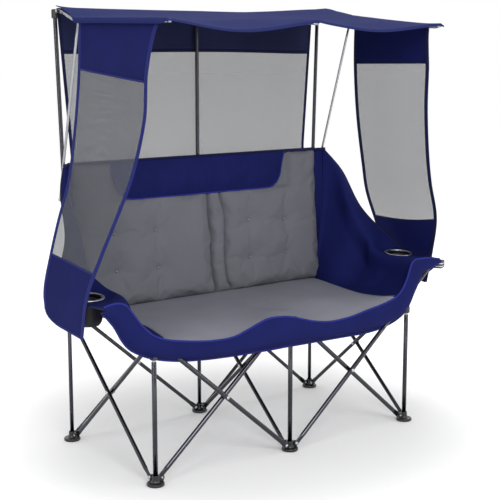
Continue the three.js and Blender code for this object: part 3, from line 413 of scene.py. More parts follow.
def turned(profile, origin, axis=Vector((0, 0, 1)), sides=32):
    """A turned part: its profile is (radius, height) along axis, from one end to the other."""
    side, up = frame_of(axis)
    axis = axis.normalized()
    points, faces, rings = [], [], []
    for radius, height in profile:
        base = origin + axis * height
        if radius == 0:
            rings.append([len(points)] * sides)
            points.append(base)
            continue
        rings.append([len(points) + k for k in range(sides)])
        for k in range(sides):
            turn = 2 * math.pi * k / sides
            points.append(base + side * (radius * math.cos(turn)) + up * (radius * math.sin(turn)))
    for low, high in zip(rings, rings[1:]):
        for k in range(sides):
            n = (k + 1) % sides
            corners = [low[k], low[n], high[n], high[k]]
            face = [c for i, c in enumerate(corners) if c not in corners[:i]]
            if len(face) > 2:
                faces.append(tuple(face))
    return points, faces, [(0, 0)] * len(points)


def ring(profile, origin, axis=Vector((0, 0, 1)), sides=32):
    """A turned part with a bore: its profile is a closed loop."""
    return turned([*profile, profile[0]], origin, axis, sides)


def prism_faces(count):
    """The faces of a prism whose two outlines of that many points follow each other."""
    faces = [tuple(reversed(range(count))), tuple(range(count, 2 * count))]
    return faces + [(k, (k + 1) % count, (k + 1) % count + count, k + count) for k in range(count)]


def plate(outline, origin, out, normal, low, high):
    points = []
    for level in (low, high):
        points += [origin + out * r + vec(0, 0, z) + normal * level for r, z in outline]
    return points, prism_faces(len(outline)), [(0, 0)] * len(points)


def rivet(origin, axis, radius=6, height=2.5):
    outline = [(0, 0), (1, 0), (1, 0.25), (0.93, 0.5), (0.75, 0.8), (0.45, 0.96), (0, 1)]
    return turned([(radius * r, height * h) for r, h in outline], origin, axis, 20)


# %% [markdown]
# A piece joins its shapes in one mesh. Doubled points are merged, faces are turned
# outwards, and a small bevel breaks the edges of the moulded parts, because a real edge is
# never sharp and its thin highlight is what makes plastic look solid.

# %% Helpers for pieces
DOUBLED = 0.005
SHARP_ANGLE = 35


def make(name, shapes, finish, bevel=0):
    points, faces, places = [], [], []
    for shape in shapes:
        first = len(points)
        points += shape[0]
        faces += [tuple(first + i for i in face) for face in shape[1]]
        places += shape[2]
    mesh = bpy.data.meshes.new(name)
    mesh.from_pydata([spot(p) for p in points], [], faces)
    layer = mesh.uv_layers.new(name="cut")
    for loop in mesh.loops:
        layer.data[loop.index].uv = places[loop.vertex_index]
    work = bmesh.new()
    work.from_mesh(mesh)
    bmesh.ops.remove_doubles(work, verts=work.verts, dist=DOUBLED * MM)
    bmesh.ops.recalc_face_normals(work, faces=work.faces)
    for face in work.faces:
        face.smooth = True
    work.to_mesh(mesh)
    work.free()
    mesh.materials.append(finish)
    piece = show(name, mesh)
    if bevel:
        edge = piece.modifiers.new("broken edges", "BEVEL")
        edge.width = bevel * MM
        edge.segments = 2
        edge.limit_method = "ANGLE"
        edge.angle_limit = math.radians(SHARP_ANGLE)
        piece.modifiers.new("even shading", "WEIGHTED_NORMAL").keep_sharp = True
    return piece


def body_of(node):
    return frame["nodes"][node]["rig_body"]


def go_with(piece, node):
    """The piece rides with a node and replaces nothing."""
    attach(piece, body_of(node))
    return piece


def stand_for(piece, node):
    """The piece rides with a node and takes its place."""
    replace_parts(go_with(piece, node), node)
    return piece


def moulding(node, part, shapes, bevel=0):
    """A moulded part that takes a node's place."""
    return stand_for(make(f"{node}_{part}", shapes, black_plastic, bevel), node)


# %% [markdown]
# ## Feet, hubs and sleeves
# Each post stands in a round moulded foot with a fin for every brace. The same kind of fin
# sits on the hubs at the top. Front posts telescope, and at the back a sleeve slides up the
# pole. A rivet holds each brace to its fin, with its head outside the flattened tube.

# %% Corners and crossing pairs
HUB_Z = 462
PIVOT_Z = 22
PIVOT_REACH = 22
FRONT_TUBE = 16
REAR_TUBE = 14
GAP = 0.3
TUBE_FOOT = 8.3
TONGUE = 5
FIN_ROUND = 9
FIN_NECK = 15.5

CORNERS = {
    "rear_center": (0, 1), "front_center": (0, -1), "front_left": (-1, -1),
    "front_right": (1, -1), "rear_left": (-1, 1), "rear_right": (1, 1),
}
# name, foot of brace one, hub of brace one, way in which brace one is set off
PAIRS = [
    ("front_left", "front_center", "front_left", (0, -1)),
    ("front_right", "front_center", "front_right", (0, -1)),
    ("rear_left", "rear_center", "rear_left", (0, -1)),
    ("rear_right", "rear_center", "rear_right", (0, -1)),
    ("side_left", "rear_left", "front_left", (1, 0)),
    ("side_right", "rear_right", "front_right", (-1, 0)),
    ("center", "rear_center", "front_center", (1, 0)),
]


def corner(name):
    across, along = CORNERS[name]
    return vec(across * BAY_WIDTH, along * REAR, 0)


def is_long(pair_name):
    return pair_name in ("front_left", "front_right")


def tube_of(pair_name):
    return FRONT_TUBE if is_long(pair_name) else REAR_TUBE


foot_fins = {name: [] for name in CORNERS}
hub_fins = {name: [] for name in CORNERS}
for pair_name, low, high, side in PAIRS:
    way = vec(*side, 0)
    size = tube_of(pair_name)
    foot_fins[low].append((high, way, size, False))
    foot_fins[high].append((low, -way, size, False))
    hub_fins[high].append((low, way, size, is_long(pair_name)))
    hub_fins[low].append((high, -way, size, False))

# %% Fins with their rivets
def fin(name, toward, way, size, whole, height, root, root_top):
    """A fin beside a brace, and the rivet through both."""
    at = corner(name)
    out = (corner(toward) - at).normalized()
    off = size / 2 + GAP
    half = off - TONGUE / 2 - GAP
    outer = PIVOT_REACH + FIN_ROUND
    under = max(root, height - FIN_NECK)
    outline = [(11, root), (min(FIN_NECK, outer), root), (FIN_NECK, under)]
    if height - FIN_ROUND > root:
        outline.append((outer - 4, max(under, root) + 1.5))
    for step in range(7):
        turn = math.radians(-50 + 140 * step / 6)
        outline.append((PIVOT_REACH + FIN_ROUND * math.cos(turn),
                        height + FIN_ROUND * math.sin(turn)))
    outline += [(9.5, height + FIN_ROUND), (9.5, root_top)]
    body = plate(outline, at, out, way, -half, 0 if whole else half)
    pin = at + out * PIVOT_REACH + vec(0, 0, height)
    reach = off + (size if whole else TONGUE) / 2
    head = rivet(pin + way * reach, way, radius=6, height=2.7)
    tail = rivet(pin - way * half, -way, radius=4, height=1.6)
    return body, [head, tail]


def fins(table, name, height, root, root_top):
    made = [fin(name, *row, height, root, root_top) for row in table[name]]
    return [body for body, pins in made], [pin for body, pins in made for pin in pins]


FOOT_PROFILE = [
    (0, 0), (26, 0), (28.2, 0.8), (29, 3), (29, 7), (28.3, 9), (26.5, 10.2), (23, 10.6),
    (21, 9.8), (17, 10), (14.4, 11.5), (12.6, 15), (12, 20), (11.6, 31), (10.8, 33), (8.4, 33),
    (8.4, 8), (0, 8),
]
for name in CORNERS:
    bodies, pins = fins(foot_fins, name, PIVOT_Z, 8, 22)
    base = turned(FOOT_PROFILE, corner(name), sides=40)
    moulding(f"{name}_foot", "shell", [base, *bodies], bevel=0.7)
    go_with(make(f"{name}_foot_rivets", pins, zinc), f"{name}_foot")
print("feet:", len(CORNERS))

# %% Front posts and hubs, rear sleeves
HUB_LOW = HUB_Z - 50
HUB_HIGH = HUB_LOW + 25
POST_TOP = HUB_Z - 57
POST_BORE = FRONT_TUBE / 2 - 1.7
for name, (across, along) in CORNERS.items():
    bodies, pins = fins(hub_fins, name, HUB_Z, HUB_LOW, HUB_HIGH)
    at = corner(name)
    if along < 0:
        wall = [(8, TUBE_FOOT), (8, POST_TOP - 0.6), (7.6, POST_TOP), (POST_BORE + 0.3, POST_TOP),
                (POST_BORE, POST_TOP - 0.6), (POST_BORE, TUBE_FOOT)]
        post = make(f"{name}_post_tube", [ring(wall, at, sides=28)], gunmetal)
        stand_for(post, f"{name}_post")
        rod = [(0, 100), (POST_BORE - GAP, 100), (POST_BORE - GAP, HUB_LOW + 2), (0, HUB_LOW + 2)]
        inner = make(f"{name}_hub_rod", [turned(rod, at, sides=24)], aluminium, bevel=0.4)
        go_with(inner, f"{name}_hub")
        head = [(0, HUB_LOW), (11, HUB_LOW), (12.4, HUB_LOW + 0.6), (13, HUB_LOW + 2),
                (13, HUB_HIGH - 3), (12, HUB_HIGH - 0.8), (9, HUB_HIGH), (0, HUB_HIGH)]
        moulding(f"{name}_hub", "head", [turned(head, at), *bodies], bevel=0.7)
        go_with(make(f"{name}_hub_rivets", pins, zinc), f"{name}_hub")
    else:
        wall = [(7.5, HUB_LOW), (12, HUB_LOW), (13, HUB_LOW + 1.2), (13, HUB_HIGH - 1.2),
                (12, HUB_HIGH), (7.5, HUB_HIGH)]
        moulding(f"{name}_sleeve", "shell", [ring(wall, at), *bodies], bevel=0.6)
        go_with(make(f"{name}_sleeve_rivets", pins, zinc), f"{name}_sleeve")
print("front hubs and rear sleeves:", len(CORNERS))

# %% [markdown]
# ## Braces and poles
# A brace is a tube flattened at its ends, where the rivets go through. The stations near an
# end widen as the wall is pressed, because the length round the tube stays the same. On the
# front pairs one brace runs on past its hub and carries the arm.

# %% Braces
TONGUE_WIDE = 18
ARM_TIP_REACH = 118


def pressed_end(base, way, size):
    """Stations of a flattened, rounded end, from its tip to the whole tube."""
    rows = [(-8.6, 6, 4.2), (-7.4, 11.5, 4.8), (-4.8, 15.6, TONGUE), (0, TONGUE_WIDE, TONGUE),
            (14, TONGUE_WIDE, TONGUE), (20, 17.6, 6), (26, 17, 8.6), (31, 16.3, size - 2),
            (37, size, size)]
    return [(base + way * s, wide, thick) for s, wide, thick in rows]


def brace_shape(low, high, side, off, size, beyond):
    along = (high - low).normalized()
    span = (high - low).length
    stations = pressed_end(0, 1, size)
    if beyond:
        tip = span + beyond
        stations += [(span / 2, size, size), (tip - 3, size, size), (tip - 1, size - 2, size - 2),
                     (tip, size - 6, size - 6)]
    else:
        stations += [(span / 2, size, size), *reversed(pressed_end(span, -1, size))]
    origin = low + side * off
    return tube([(origin + along * s, w, t) for s, w, t in stations], side)


def pivot(name, toward, height):
    out = (corner(toward) - corner(name)).normalized()
    return corner(name) + out * PIVOT_REACH + vec(0, 0, height)


for pair_name, low_name, high_name, way in PAIRS:
    side = vec(*way, 0)
    size = tube_of(pair_name)
    off = size / 2 + GAP
    foot_one = pivot(low_name, high_name, PIVOT_Z)
    hub_one = pivot(high_name, low_name, HUB_Z)
    foot_two = pivot(high_name, low_name, PIVOT_Z)
    hub_two = pivot(low_name, high_name, HUB_Z)
    level = (corner(high_name) - corner(low_name)).normalized()
    slope = (hub_one - foot_one).normalized().dot(level)
    reach = (ARM_TIP_REACH + PIVOT_REACH) / slope if is_long(pair_name) else 0
    for number, low, high, shift, beyond in (("one", foot_one, hub_one, off, reach),
                                             ("two", foot_two, hub_two, -off, 0)):
        shape = brace_shape(low, high, side, shift, size, beyond)
        brace = make(f"{pair_name}_brace_{number}_tube", [shape], gunmetal)
        stand_for(brace, f"{pair_name}_brace_{number}")
    middle = (foot_one + hub_one) / 2
    pins = [rivet(middle + side * (2 * off - GAP), side, 6, 2.6),
            rivet(middle - side * (2 * off - GAP), -side, 6, 2.6)]
    go_with(make(f"{pair_name}_middle_rivet", pins, zinc), f"{pair_name}_brace_one")
print("braces:", 2 * len(PAIRS))

# %% Rear poles
POLE_TOP = 1497
POLE_BEND = 720
POLE_STRAIGHT = 1460
POLE_LEAN = 22


def lean(height):
    return POLE_LEAN * clamp((height - POLE_BEND) / (POLE_STRAIGHT - POLE_BEND))


for name, across in (("rear_left", -1), ("rear_center", 0), ("rear_right", 1)):
    heights = [TUBE_FOOT, 300, 600, 690, 705, POLE_BEND, 735, 750, 900, 1200, 1430, 1450,
               POLE_STRAIGHT, 1470, POLE_TOP]
    stations = [(corner(name) + vec(across * lean(z), 0, z), REAR_TUBE, REAR_TUBE) for z in heights]
    pole = make(f"{name}_pole_tube", [tube(stations, vec(0, 1, 0))], gunmetal)
    stand_for(pole, f"{name}_pole")
print("poles:", 3, "height:", POLE_TOP, "mm")

# %% [markdown]
# ## Canopy frame
# A moulded cap on each pole holds a rib between two cheeks. The side ribs run out to an
# elbow, where they flatten into the line of the sail, and a strut drops from the elbow to a
# collar on the pole.

# %% Canopy frame sizes
RIB_TUBE = 12
RIB_Y = REAR - 22
RIB_Z = 1495
CAP_X = BAY_WIDTH + POLE_LEAN
ELBOW_REACH = 156
RIB_REACH = 653
ELBOW = vec(CAP_X + 20, RIB_Y - ELBOW_REACH, RIB_Z - 33)
RIB_END = vec(BAY_WIDTH + 6, RIB_Y - RIB_REACH, RIB_Z - 45)
STRUT_TUBE = 9
STRUT_OFFSET = 9.5
COLLAR_Z = POLE_TOP - 635
CAP_TOP = POLE_TOP + 4


def smooth_line(points, t):
    """A point of the centripetal Catmull-Rom curve through points, t from 0 to 1."""
    last = len(points) - 1
    i = min(int(t * last), last - 1)
    w = t * last - i
    b, c = points[i], points[i + 1]
    a = points[i - 1] if i > 0 else 2 * b - c
    d = points[i + 2] if i + 2 <= last else 2 * c - b
    before, step, after = [max((q - p).length, 1e-4) ** 0.5 for p, q in ((a, b), (b, c), (c, d))]
    start_slope = (b - a) / before - (c - a) / (before + step) + (c - b) / step
    end_slope = (c - b) / step - (d - b) / (step + after) + (d - c) / after
    start_slope, end_slope = start_slope * step, end_slope * step
    return (b + start_slope * w + (-3 * b + 3 * c - 2 * start_slope - end_slope) * w * w
            + (2 * b - 2 * c + start_slope + end_slope) * w * w * w)


RIB_REAR_SHARES = [(0, 0, 0), (0.01, 0.22, 0.2), (0.66, 0.68, 0.7)]
RIB_FRONT_SHARES = [(0, 0, 0), (0.3, 0.3, 0.32), (1, 1, 1)]
side_rib_points = [
    vec(mix(CAP_X, ELBOW.x, out), mix(RIB_Y, ELBOW.y, ahead), mix(RIB_Z, ELBOW.z, down))
    for out, ahead, down in RIB_REAR_SHARES
] + [
    vec(mix(ELBOW.x, RIB_END.x, out), mix(ELBOW.y, RIB_END.y, ahead), mix(ELBOW.z, RIB_END.z, down))
    for out, ahead, down in RIB_FRONT_SHARES
]
rib_line = [smooth_line(side_rib_points, i / 80) for i in range(81)]


def rib_at(y):
    """The point of the right-hand rib's axis at a depth y."""
    y = clamp(y, RIB_END.y, RIB_Y)
    for a, b in zip(rib_line, rib_line[1:]):
        if y >= b.y:
            return a.lerp(b, clamp((a.y - y) / (a.y - b.y)))
    return rib_line[-1]


def mirrored(points, way):
    return [vec(way * p.x, p.y, p.z) for p in points]


# %% Caps, ribs, struts and collars
def rib_stations(points):
    stations = []
    gone = 0
    for i, at in enumerate(points):
        gone += (at - points[max(i - 1, 0)]).length
        stations.append((at, RIB_TUBE, mix(TONGUE, RIB_TUBE, ease((gone - 28) / 26))))
    ahead = (points[1] - points[0]).normalized()
    tips = [(-8.6, 4.5, 4), (-7.2, 8, 4.6), (-4.4, 10.8, TONGUE)]
    return [(points[0] + ahead * s, wide, thick) for s, wide, thick in tips] + stations


def cap_shapes(x):
    origin = vec(x, REAR, 0)
    profile = [(0, POLE_TOP + 0.3), (7.3, POLE_TOP + 0.3), (7.3, CAP_TOP - 30), (11.4, CAP_TOP - 30),
               (12, CAP_TOP - 29), (12, CAP_TOP - 4), (11, CAP_TOP - 1.4), (8, CAP_TOP), (0, CAP_TOP)]
    inner = TONGUE / 2 + 0.9
    outline = [(9, RIB_Z - 9), (26, RIB_Z - 9), (29.5, RIB_Z - 7), (31, RIB_Z - 3),
               (31, RIB_Z + 3), (29.5, RIB_Z + 5.4), (27, RIB_Z + 6), (9, RIB_Z + 6)]
    cheeks = [plate(outline, origin, vec(0, -1, 0), vec(1, 0, 0), *levels)
              for levels in ((inner, inner + 4), (-inner - 4, -inner))]
    pin = vec(x, RIB_Y, RIB_Z)
    heads = [rivet(pin + vec(way * (inner + 4), 0, 0), vec(way, 0, 0), 5, 1.8) for way in (-1, 1)]
    return [turned(profile, origin), *cheeks], heads


for name, x in (("left", -CAP_X), ("center", 0), ("right", CAP_X)):
    shapes, heads = cap_shapes(x)
    moulding(f"{name}_pole_cap", "shell", shapes, bevel=0.6)
    go_with(make(f"{name}_pole_cap_pin", heads, zinc), f"{name}_pole_cap")

center_line = [vec(0, mix(RIB_Y, RIB_END.y, i / 24), mix(RIB_Z, RIB_END.z, i / 24)) for i in range(25)]
center_rib = make("center_canopy_rib_tube", [tube(rib_stations(center_line), vec(1, 0, 0))], aluminium)
stand_for(center_rib, "center_canopy_rib")

collar_x = BAY_WIDTH + lean(COLLAR_Z)
strut_low_x = collar_x + 16.5 + GAP + 2
for name, way in SIDES:
    rib = make(f"{name}_canopy_rib_tube",
               [tube(rib_stations(mirrored(rib_line, way)), vec(1, 0, 0))], aluminium)
    stand_for(rib, f"{name}_canopy_rib")
    head_x = ELBOW.x - STRUT_OFFSET - 2 - GAP
    heads = [rivet(vec(way * head_x, ELBOW.y, ELBOW.z), vec(-way, 0, 0), 6, 2.5)]
    go_with(make(f"{name}_elbow_rivet", heads, zinc), f"{name}_canopy_rib")
    top = vec(way * (ELBOW.x - STRUT_OFFSET), ELBOW.y, ELBOW.z)
    low = vec(way * strut_low_x, REAR, COLLAR_Z)
    span = (low - top).length
    ahead = (low - top).normalized()
    ends = [(-5.8, 5, 3.2), (-4.4, 9.4, 3.8), (0, 11.7, 4), (28, 11.7, 4), (36, 11.2, 5.2),
            (44, 10.2, 7.2), (54, STRUT_TUBE, STRUT_TUBE)]
    stations = [(top + ahead * s, w, t) for s, w, t in ends]
    stations += [(low - ahead * s, w, t) for s, w, t in reversed(ends)]
    strut = make(f"{name}_canopy_strut_tube", [tube(stations, vec(1, 0, 0))], aluminium)
    stand_for(strut, f"{name}_canopy_strut")
    heads = [rivet(low + vec(way * 2, 0, 0), vec(way, 0, 0), 6, 2.5)]
    go_with(make(f"{name}_strut_rivet", heads, zinc), f"{name}_canopy_strut")
    at = vec(way * collar_x, REAR, 0)
    wall = [(8.2, COLLAR_Z - 12), (12, COLLAR_Z - 12), (13, COLLAR_Z - 11), (13, COLLAR_Z + 11),
            (12, COLLAR_Z + 12), (8.2, COLLAR_Z + 12)]
    boss = [(0, 10.5), (6.2, 10.5), (6.2, 15.6), (5.4, 16.5), (0, 16.5)]
    shapes = [ring(wall, at), turned(boss, at + vec(0, 0, COLLAR_Z), vec(way, 0, 0), 24)]
    moulding(f"{name}_strut_collar", "shell", shapes, bevel=0.5)
print("canopy: 3 caps, 3 ribs, 2 struts, 2 collars")

# %% [markdown]
# ## Cloth and cushions
# A cushion is a closed skin between a front and a back face, and a cloth is one face that
# gets its thickness afterwards. Both come from a function of two shares, so the same
# function also gives the line that a piping or a binding follows.

# %% Helpers for cloth
def net(face, columns, rows, wide, long, flip=False, v_span=(0, 1)):
    """Points, faces and cloth places of one face, a function of two shares."""
    points, places, faces = [], [], []
    for i in range(columns + 1):
        for k in range(rows + 1):
            u, v = i / columns, mix(*v_span, k / rows)
            points.append(face(u, v))
            places.append((u * wide * MM, v * long * MM))
    for i in range(columns):
        for k in range(rows):
            a = i * (rows + 1) + k
            quad = (a, a + rows + 1, a + rows + 2, a + 1)
            faces.append(quad[::-1] if flip else quad)
    return points, faces, places


def cushion_shape(front, back, columns, rows, wide, long):
    """A closed skin. Its border points are doubled and joined by a rim."""
    points, faces, places = net(front, columns, rows, wide, long)
    more, back_faces, back_places = net(back, columns, rows, wide, long, flip=True)
    count = len(points)
    faces += [tuple(count + i for i in face) for face in back_faces]
    border = list(range(rows + 1))
    border += [i * (rows + 1) + rows for i in range(1, columns + 1)]
    border += [columns * (rows + 1) + k for k in range(rows - 1, -1, -1)]
    border += [i * (rows + 1) for i in range(columns - 1, 0, -1)]
    for a, b in zip(border, border[1:] + border[:1]):
        faces.append((a, b, b + count, a + count))
    return points + more, faces, places + back_places


def cloth_piece(name, face, finish, columns, rows, wide, long, thick=1.2, **spans):
    piece = make(name, [net(face, columns, rows, wide, long, **spans)], finish)
    solid = piece.modifiers.new("cloth thickness", "SOLIDIFY")
    solid.thickness = thick * MM
    solid.offset = 0
    return piece


def line_of(face, steps, start_at, end_at):
    """Points along a face between two (u, v) places."""
    return [face(mix(start_at[0], end_at[0], i / steps), mix(start_at[1], end_at[1], i / steps))
            for i in range(steps + 1)]


def cord_along(points, size, flat=None, thick=None, sides=10, square=1):
    """A piping, or with a thickness a folded tape, along points."""
    flat = flat or vec(0, 0, 1)
    return tube([(p, size, thick or size) for p in points], flat, sides=sides, square=square)


def follow(table, t):
    """A smooth value through a table of (place, value) pairs."""
    i = 1
    while i < len(table) - 1 and t > table[i][0]:
        i += 1
    a, b = table[i - 1], table[i]
    before, after = table[max(i - 2, 0)], table[min(i + 1, len(table) - 1)]
    gap = b[0] - a[0]
    s = clamp((t - a[0]) / gap)
    slope_a = (b[1] - before[1]) / (b[0] - before[0]) * gap
    slope_b = (after[1] - a[1]) / (after[0] - a[0]) * gap
    return (a[1] + (3 * s * s - 2 * s ** 3) * (b[1] - a[1])
            + (s ** 3 - 2 * s * s + s) * slope_a + (s ** 3 - s * s) * slope_b)


# %% [markdown]
# Slack cloth is never quite even. One function moves a piece's points by a smooth noise, and
# one blows a cushion up with Blender's own cloth, so that its seams draw in.

# %% Unevenness, stuffing, own meshes and trims
def uneven(piece, size, height, seed, share=lambda p: 1):
    """Moves points along their normals by a smooth noise with waves of that size."""
    shift = vec(seed * 7.1, seed * 3.3, seed * 5.7)
    for vertex in piece.data.vertices:
        wave = noise.noise(vertex.co / (size * MM) + shift)
        vertex.co += vertex.normal * (wave * height * MM * share(vertex.co / MM))
    piece.data.update()


def stuff(piece, held, pressure, growth, cap, frames=20):
    """Blows a cushion up with Blender's cloth. Held points stay, and none moves past the cap."""
    group = piece.vertex_groups.new(name="sewn")
    for vertex in piece.data.vertices:
        group.add([vertex.index], held(vertex.co / MM), "REPLACE")
    cloth = piece.modifiers.new("stuffing", "CLOTH")
    cloth.settings.quality = 5
    cloth.settings.mass = 0.2
    cloth.settings.use_pressure = True
    cloth.settings.uniform_pressure_force = pressure
    cloth.settings.shrink_min = -growth
    cloth.settings.vertex_group_mass = "sewn"
    cloth.settings.effector_weights.gravity = 0
    cloth.collision_settings.use_collision = False
    cloth.point_cache.frame_end = frames
    for number in range(1, frames + 1):
        bpy.context.scene.frame_set(number)
    seen = piece.evaluated_get(bpy.context.evaluated_depsgraph_get())
    blown = [vertex.co.copy() for vertex in seen.data.vertices]
    piece.modifiers.remove(cloth)
    piece.vertex_groups.remove(group)
    for vertex, new in zip(piece.data.vertices, blown):
        move = new - vertex.co
        if move.length > cap * MM:
            move *= cap * MM / move.length
        vertex.co += move
    piece.data.update()
    bpy.context.scene.frame_set(1)


def narrow(piece):
    """Gives the piece a mesh of its own."""
    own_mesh(piece)


def shorten(piece):
    """Gives the piece a mesh of its own."""
    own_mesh(piece)


def trim(name, node, finish, fold, lines, size, slot="navy_fabric", **section):
    """Piping or tape along lines on a node's cloth. It goes with that cloth."""
    piece = make(name, [cord_along(line, size, **section) for line in lines], finish)
    fold(go_with(piece, node))


# %% [markdown]
# ## Seat
# One padded panel spans both places. Its front edge dips under each sitter and rises to a
# low peak over the middle post, and its sides draw in between the corners. As the frame
# folds, the front part hangs from the front hubs and the rear part from the sleeves, so the
# panel is built whole and then parted along the line where it folds.

# %% Seat
SEAT_TOP = HUB_Z + 13
# The depth at which the seat parts when it folds
SEAT_CUT = -100.5
SEAT_TUCK = 12
SEAT_LEFT_REACH = 50
SEAT_THICK = 20
SEAT_EDGE_THICK = 8.8
SEAT_CROWN = 5
HUB_RISE = 7
SEAT_REAR_HALF = BAY_WIDTH - 30
BACK_LEAN = 45
BACK_THICK = 21
BACK_FRONT_BOTTOM = REAR - REAR_TUBE / 2 - 2 - BACK_LEAN - BACK_THICK
SEAT_REAR = BACK_FRONT_BOTTOM - 0.4
SEAT_FRONT = -REAR - 23.6
SEAT_SIDE_SHARES = [(0, 0.94), (0.07, 0.885), (0.16, 0.872), (0.5, 0.887), (0.8, 0.955), (1, 1)]
# The front edge from left to right: x and height of the upper edge of the navy band that
# follows it, then of the band's lower edge. It peaks a little left of the middle.
BAND_ROWS = [
    (-738, 604, -738, 590), (-712, 610, -724, 576), (-686, 610, -709, 558), (-665, 602, -695, 540),
    (-652, 588, -682, 518), (-640, 573, -670, 496), (-608, 531, -645, 465), (-573, 498, -608, 441),
    (-526, 475, -560, 420), (-437, 455, -470, 398), (-337, 442, -366, 386), (-254, 443, -264, 380),
    (-205, 457, -207, 378), (-128, 481, -128, 376), (-98, 484, -98, 375), (-30, 478, -30, 375),
    (25, 463, 25, 374), (80, 447, 80, 373), (150, 435, 150, 372), (210, 435, 210, 371),
    (260, 439, 262, 370), (330, 451, 340, 369), (412, 464, 425, 377), (466, 479, 500, 399),
    (489, 493, 540, 424), (507, 512, 561, 452), (519, 532, 575, 478), (528, 550, 590, 503),
    (537, 574, 605, 527), (547, 597, 619, 544), (563, 608, 637, 553), (600, 609, 660, 561),
    (645, 606, 680, 571), (690, 598, 693, 583),
]
FRONT_LINE = [(x, z - SEAT_TOP) for x, z, low_x, low_z in BAND_ROWS]


def seat_half(y, way=1):
    """Half the seat's width. On the left its front corner reaches further out."""
    half = SEAT_REAR_HALF * follow(SEAT_SIDE_SHARES, (y - SEAT_FRONT) / (SEAT_REAR - SEAT_FRONT))
    return half + SEAT_LEFT_REACH * ease((-y - 40) / 250) if way < 0 else half


def seat_height(s, v):
    """The upper face's height: the wavy front edge, a low crown and a rise over the hub."""
    x = s * seat_half(SEAT_FRONT, s)
    near_front = max(1 - v / 0.4, 0) ** 2
    crown = SEAT_CROWN * math.sin(math.pi * v) * math.sin(math.pi * abs(s))
    over_hub = HUB_RISE * math.exp(-((x / 60) ** 2 + ((v - 0.16) / 0.11) ** 2))
    return SEAT_TOP + follow(FRONT_LINE, x) * near_front + crown + over_hub


def seat_point(u, v, under):
    s = 2 * u - 1
    y = mix(SEAT_FRONT, SEAT_REAR + SEAT_TUCK, v)
    edge = clamp((v - 0.13) / 0.13) * min((1 - abs(s)) / 0.13, 1)
    thick = mix(SEAT_EDGE_THICK, SEAT_THICK, math.sin(edge * math.pi / 2))
    rolled = 1.8 * (1 - ease(min((1 - abs(s)) * 16, v * 12)))
    return vec(s * seat_half(y, s), y, seat_height(s, v) - (thick if under else rolled))


def keep_side(piece, cut_y, way):
    """Keeps the part of a cushion on one side of a line across it, and closes the cut."""
    work = bmesh.new()
    work.from_mesh(piece.data)
    line = spot(vec(0, cut_y, 0)).y
    gone = [f for f in work.faces if (f.calc_center_median().y - line) * way < 0]
    bmesh.ops.delete(work, geom=gone, context="FACES")
    rim = [e for e in work.edges if e.is_boundary]
    bmesh.ops.holes_fill(work, edges=rim, sides=0)
    for edge in rim:
        edge.smooth = False
    work.to_mesh(piece.data)
    work.free()
    piece.data.update()


seat_shape = cushion_shape(lambda u, v: seat_point(u, v, False),
                           lambda u, v: seat_point(u, v, True),
                           columns=96, rows=48, wide=1040, long=500)
seat = make("seat_cushion", [seat_shape], seat_cloth_painted_light)
uneven(seat, size=150, height=2.2, seed=1)
seat_front = show("seat_cushion_front", seat.data.copy())
seat_front.data.name = "seat_cushion_front"
keep_side(seat, SEAT_CUT, 1)
keep_side(seat_front, SEAT_CUT, -1)
for piece, body in ((seat, "center_brace_two"), (seat_front, "center_brace_one")):
    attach(piece, body_of(body))
    narrow(piece)
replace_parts(seat, "seat_pad")
print("seat:", round(2 * SEAT_REAR_HALF), "by", round(SEAT_REAR - SEAT_FRONT), "mm, two parts")

# %% [markdown]
# ## Back
# Two padded panels and a narrow padded strip between them are sewn side by side. Four tufts
# on each side pull the padding in to a small button. A dark tape binds the top edge.

# %% Back cushions
BACK_TOP = 983
BACK_BOTTOM = SEAT_TOP - 3.5
BACK_HALF = BAY_WIDTH - 10
HEADREST_BOTTOM = BACK_TOP - 133
HEADREST_HALF = 405
# x and height of each tuft
TUFTS = [(-227, 733), (-224, 596), (-396, 734), (-397, 602), (190, 733), (364, 722), (190, 592),
         (366, 593)]
TUFT_HOLD = 9
BUTTON_SUNK = 8.8
SEAM_SUNK = 12
PAD_FULL = 16
STRIP_FULL = 14


def back_y(z):
    """The depth of the back's front face at a seam's height, without its padding."""
    return BACK_FRONT_BOTTOM + BACK_LEAN * (z - BACK_BOTTOM) / (BACK_TOP - BACK_BOTTOM)


# The two creases beside the middle strip, as (height, x)
LEFT_SEAM = [(470, 34), (497, 29), (539, 23), (643, 21), (673, 25), (758, 19), (844, 12), (984, 3)]
RIGHT_SEAM = [(470, 100), (497, 91), (509, 83), (585, 75), (668, 77), (757, 79), (844, 63), (984, 45)]


def tuft_pull(x, z):
    pull = 0
    for tx, tz in TUFTS:
        far = math.hypot(x - tx, z - tz)
        pull += 8 * math.exp(-(far / 12) ** 2) + 3.5 * math.exp(-(far / 42) ** 2)
    return pull


def roll(distance, reach):
    """The share of full height at a distance from a seam, with a round shoulder."""
    return math.sqrt(max(1 - (1 - clamp(distance / reach)) ** 2, 0))


def back_pad(low_edge, high_edge, front, tufted):
    def face(u, v):
        z = mix(BACK_BOTTOM, BACK_TOP, v)
        x = mix(low_edge(z), high_edge(z), u)
        if not front:
            return vec(x, back_y(z) + BACK_THICK, z)
        under_rest = ease((HEADREST_HALF - abs(x)) / 20) * ease((z - HEADREST_BOTTOM + 6) / 12)
        shoulder = 36 if tufted else 24
        swell = roll(x - low_edge(z), shoulder) * roll(high_edge(z) - x, shoulder)
        swell *= roll(z - BACK_BOTTOM, 46) * roll(BACK_TOP - z, 20)
        swell *= 1 - 0.75 * under_rest
        full = PAD_FULL if tufted else STRIP_FULL
        pull = tuft_pull(x, z) if tufted else 0
        return vec(x, back_y(z) + SEAM_SUNK * (1 - swell) - full * swell + pull, z)
    return face


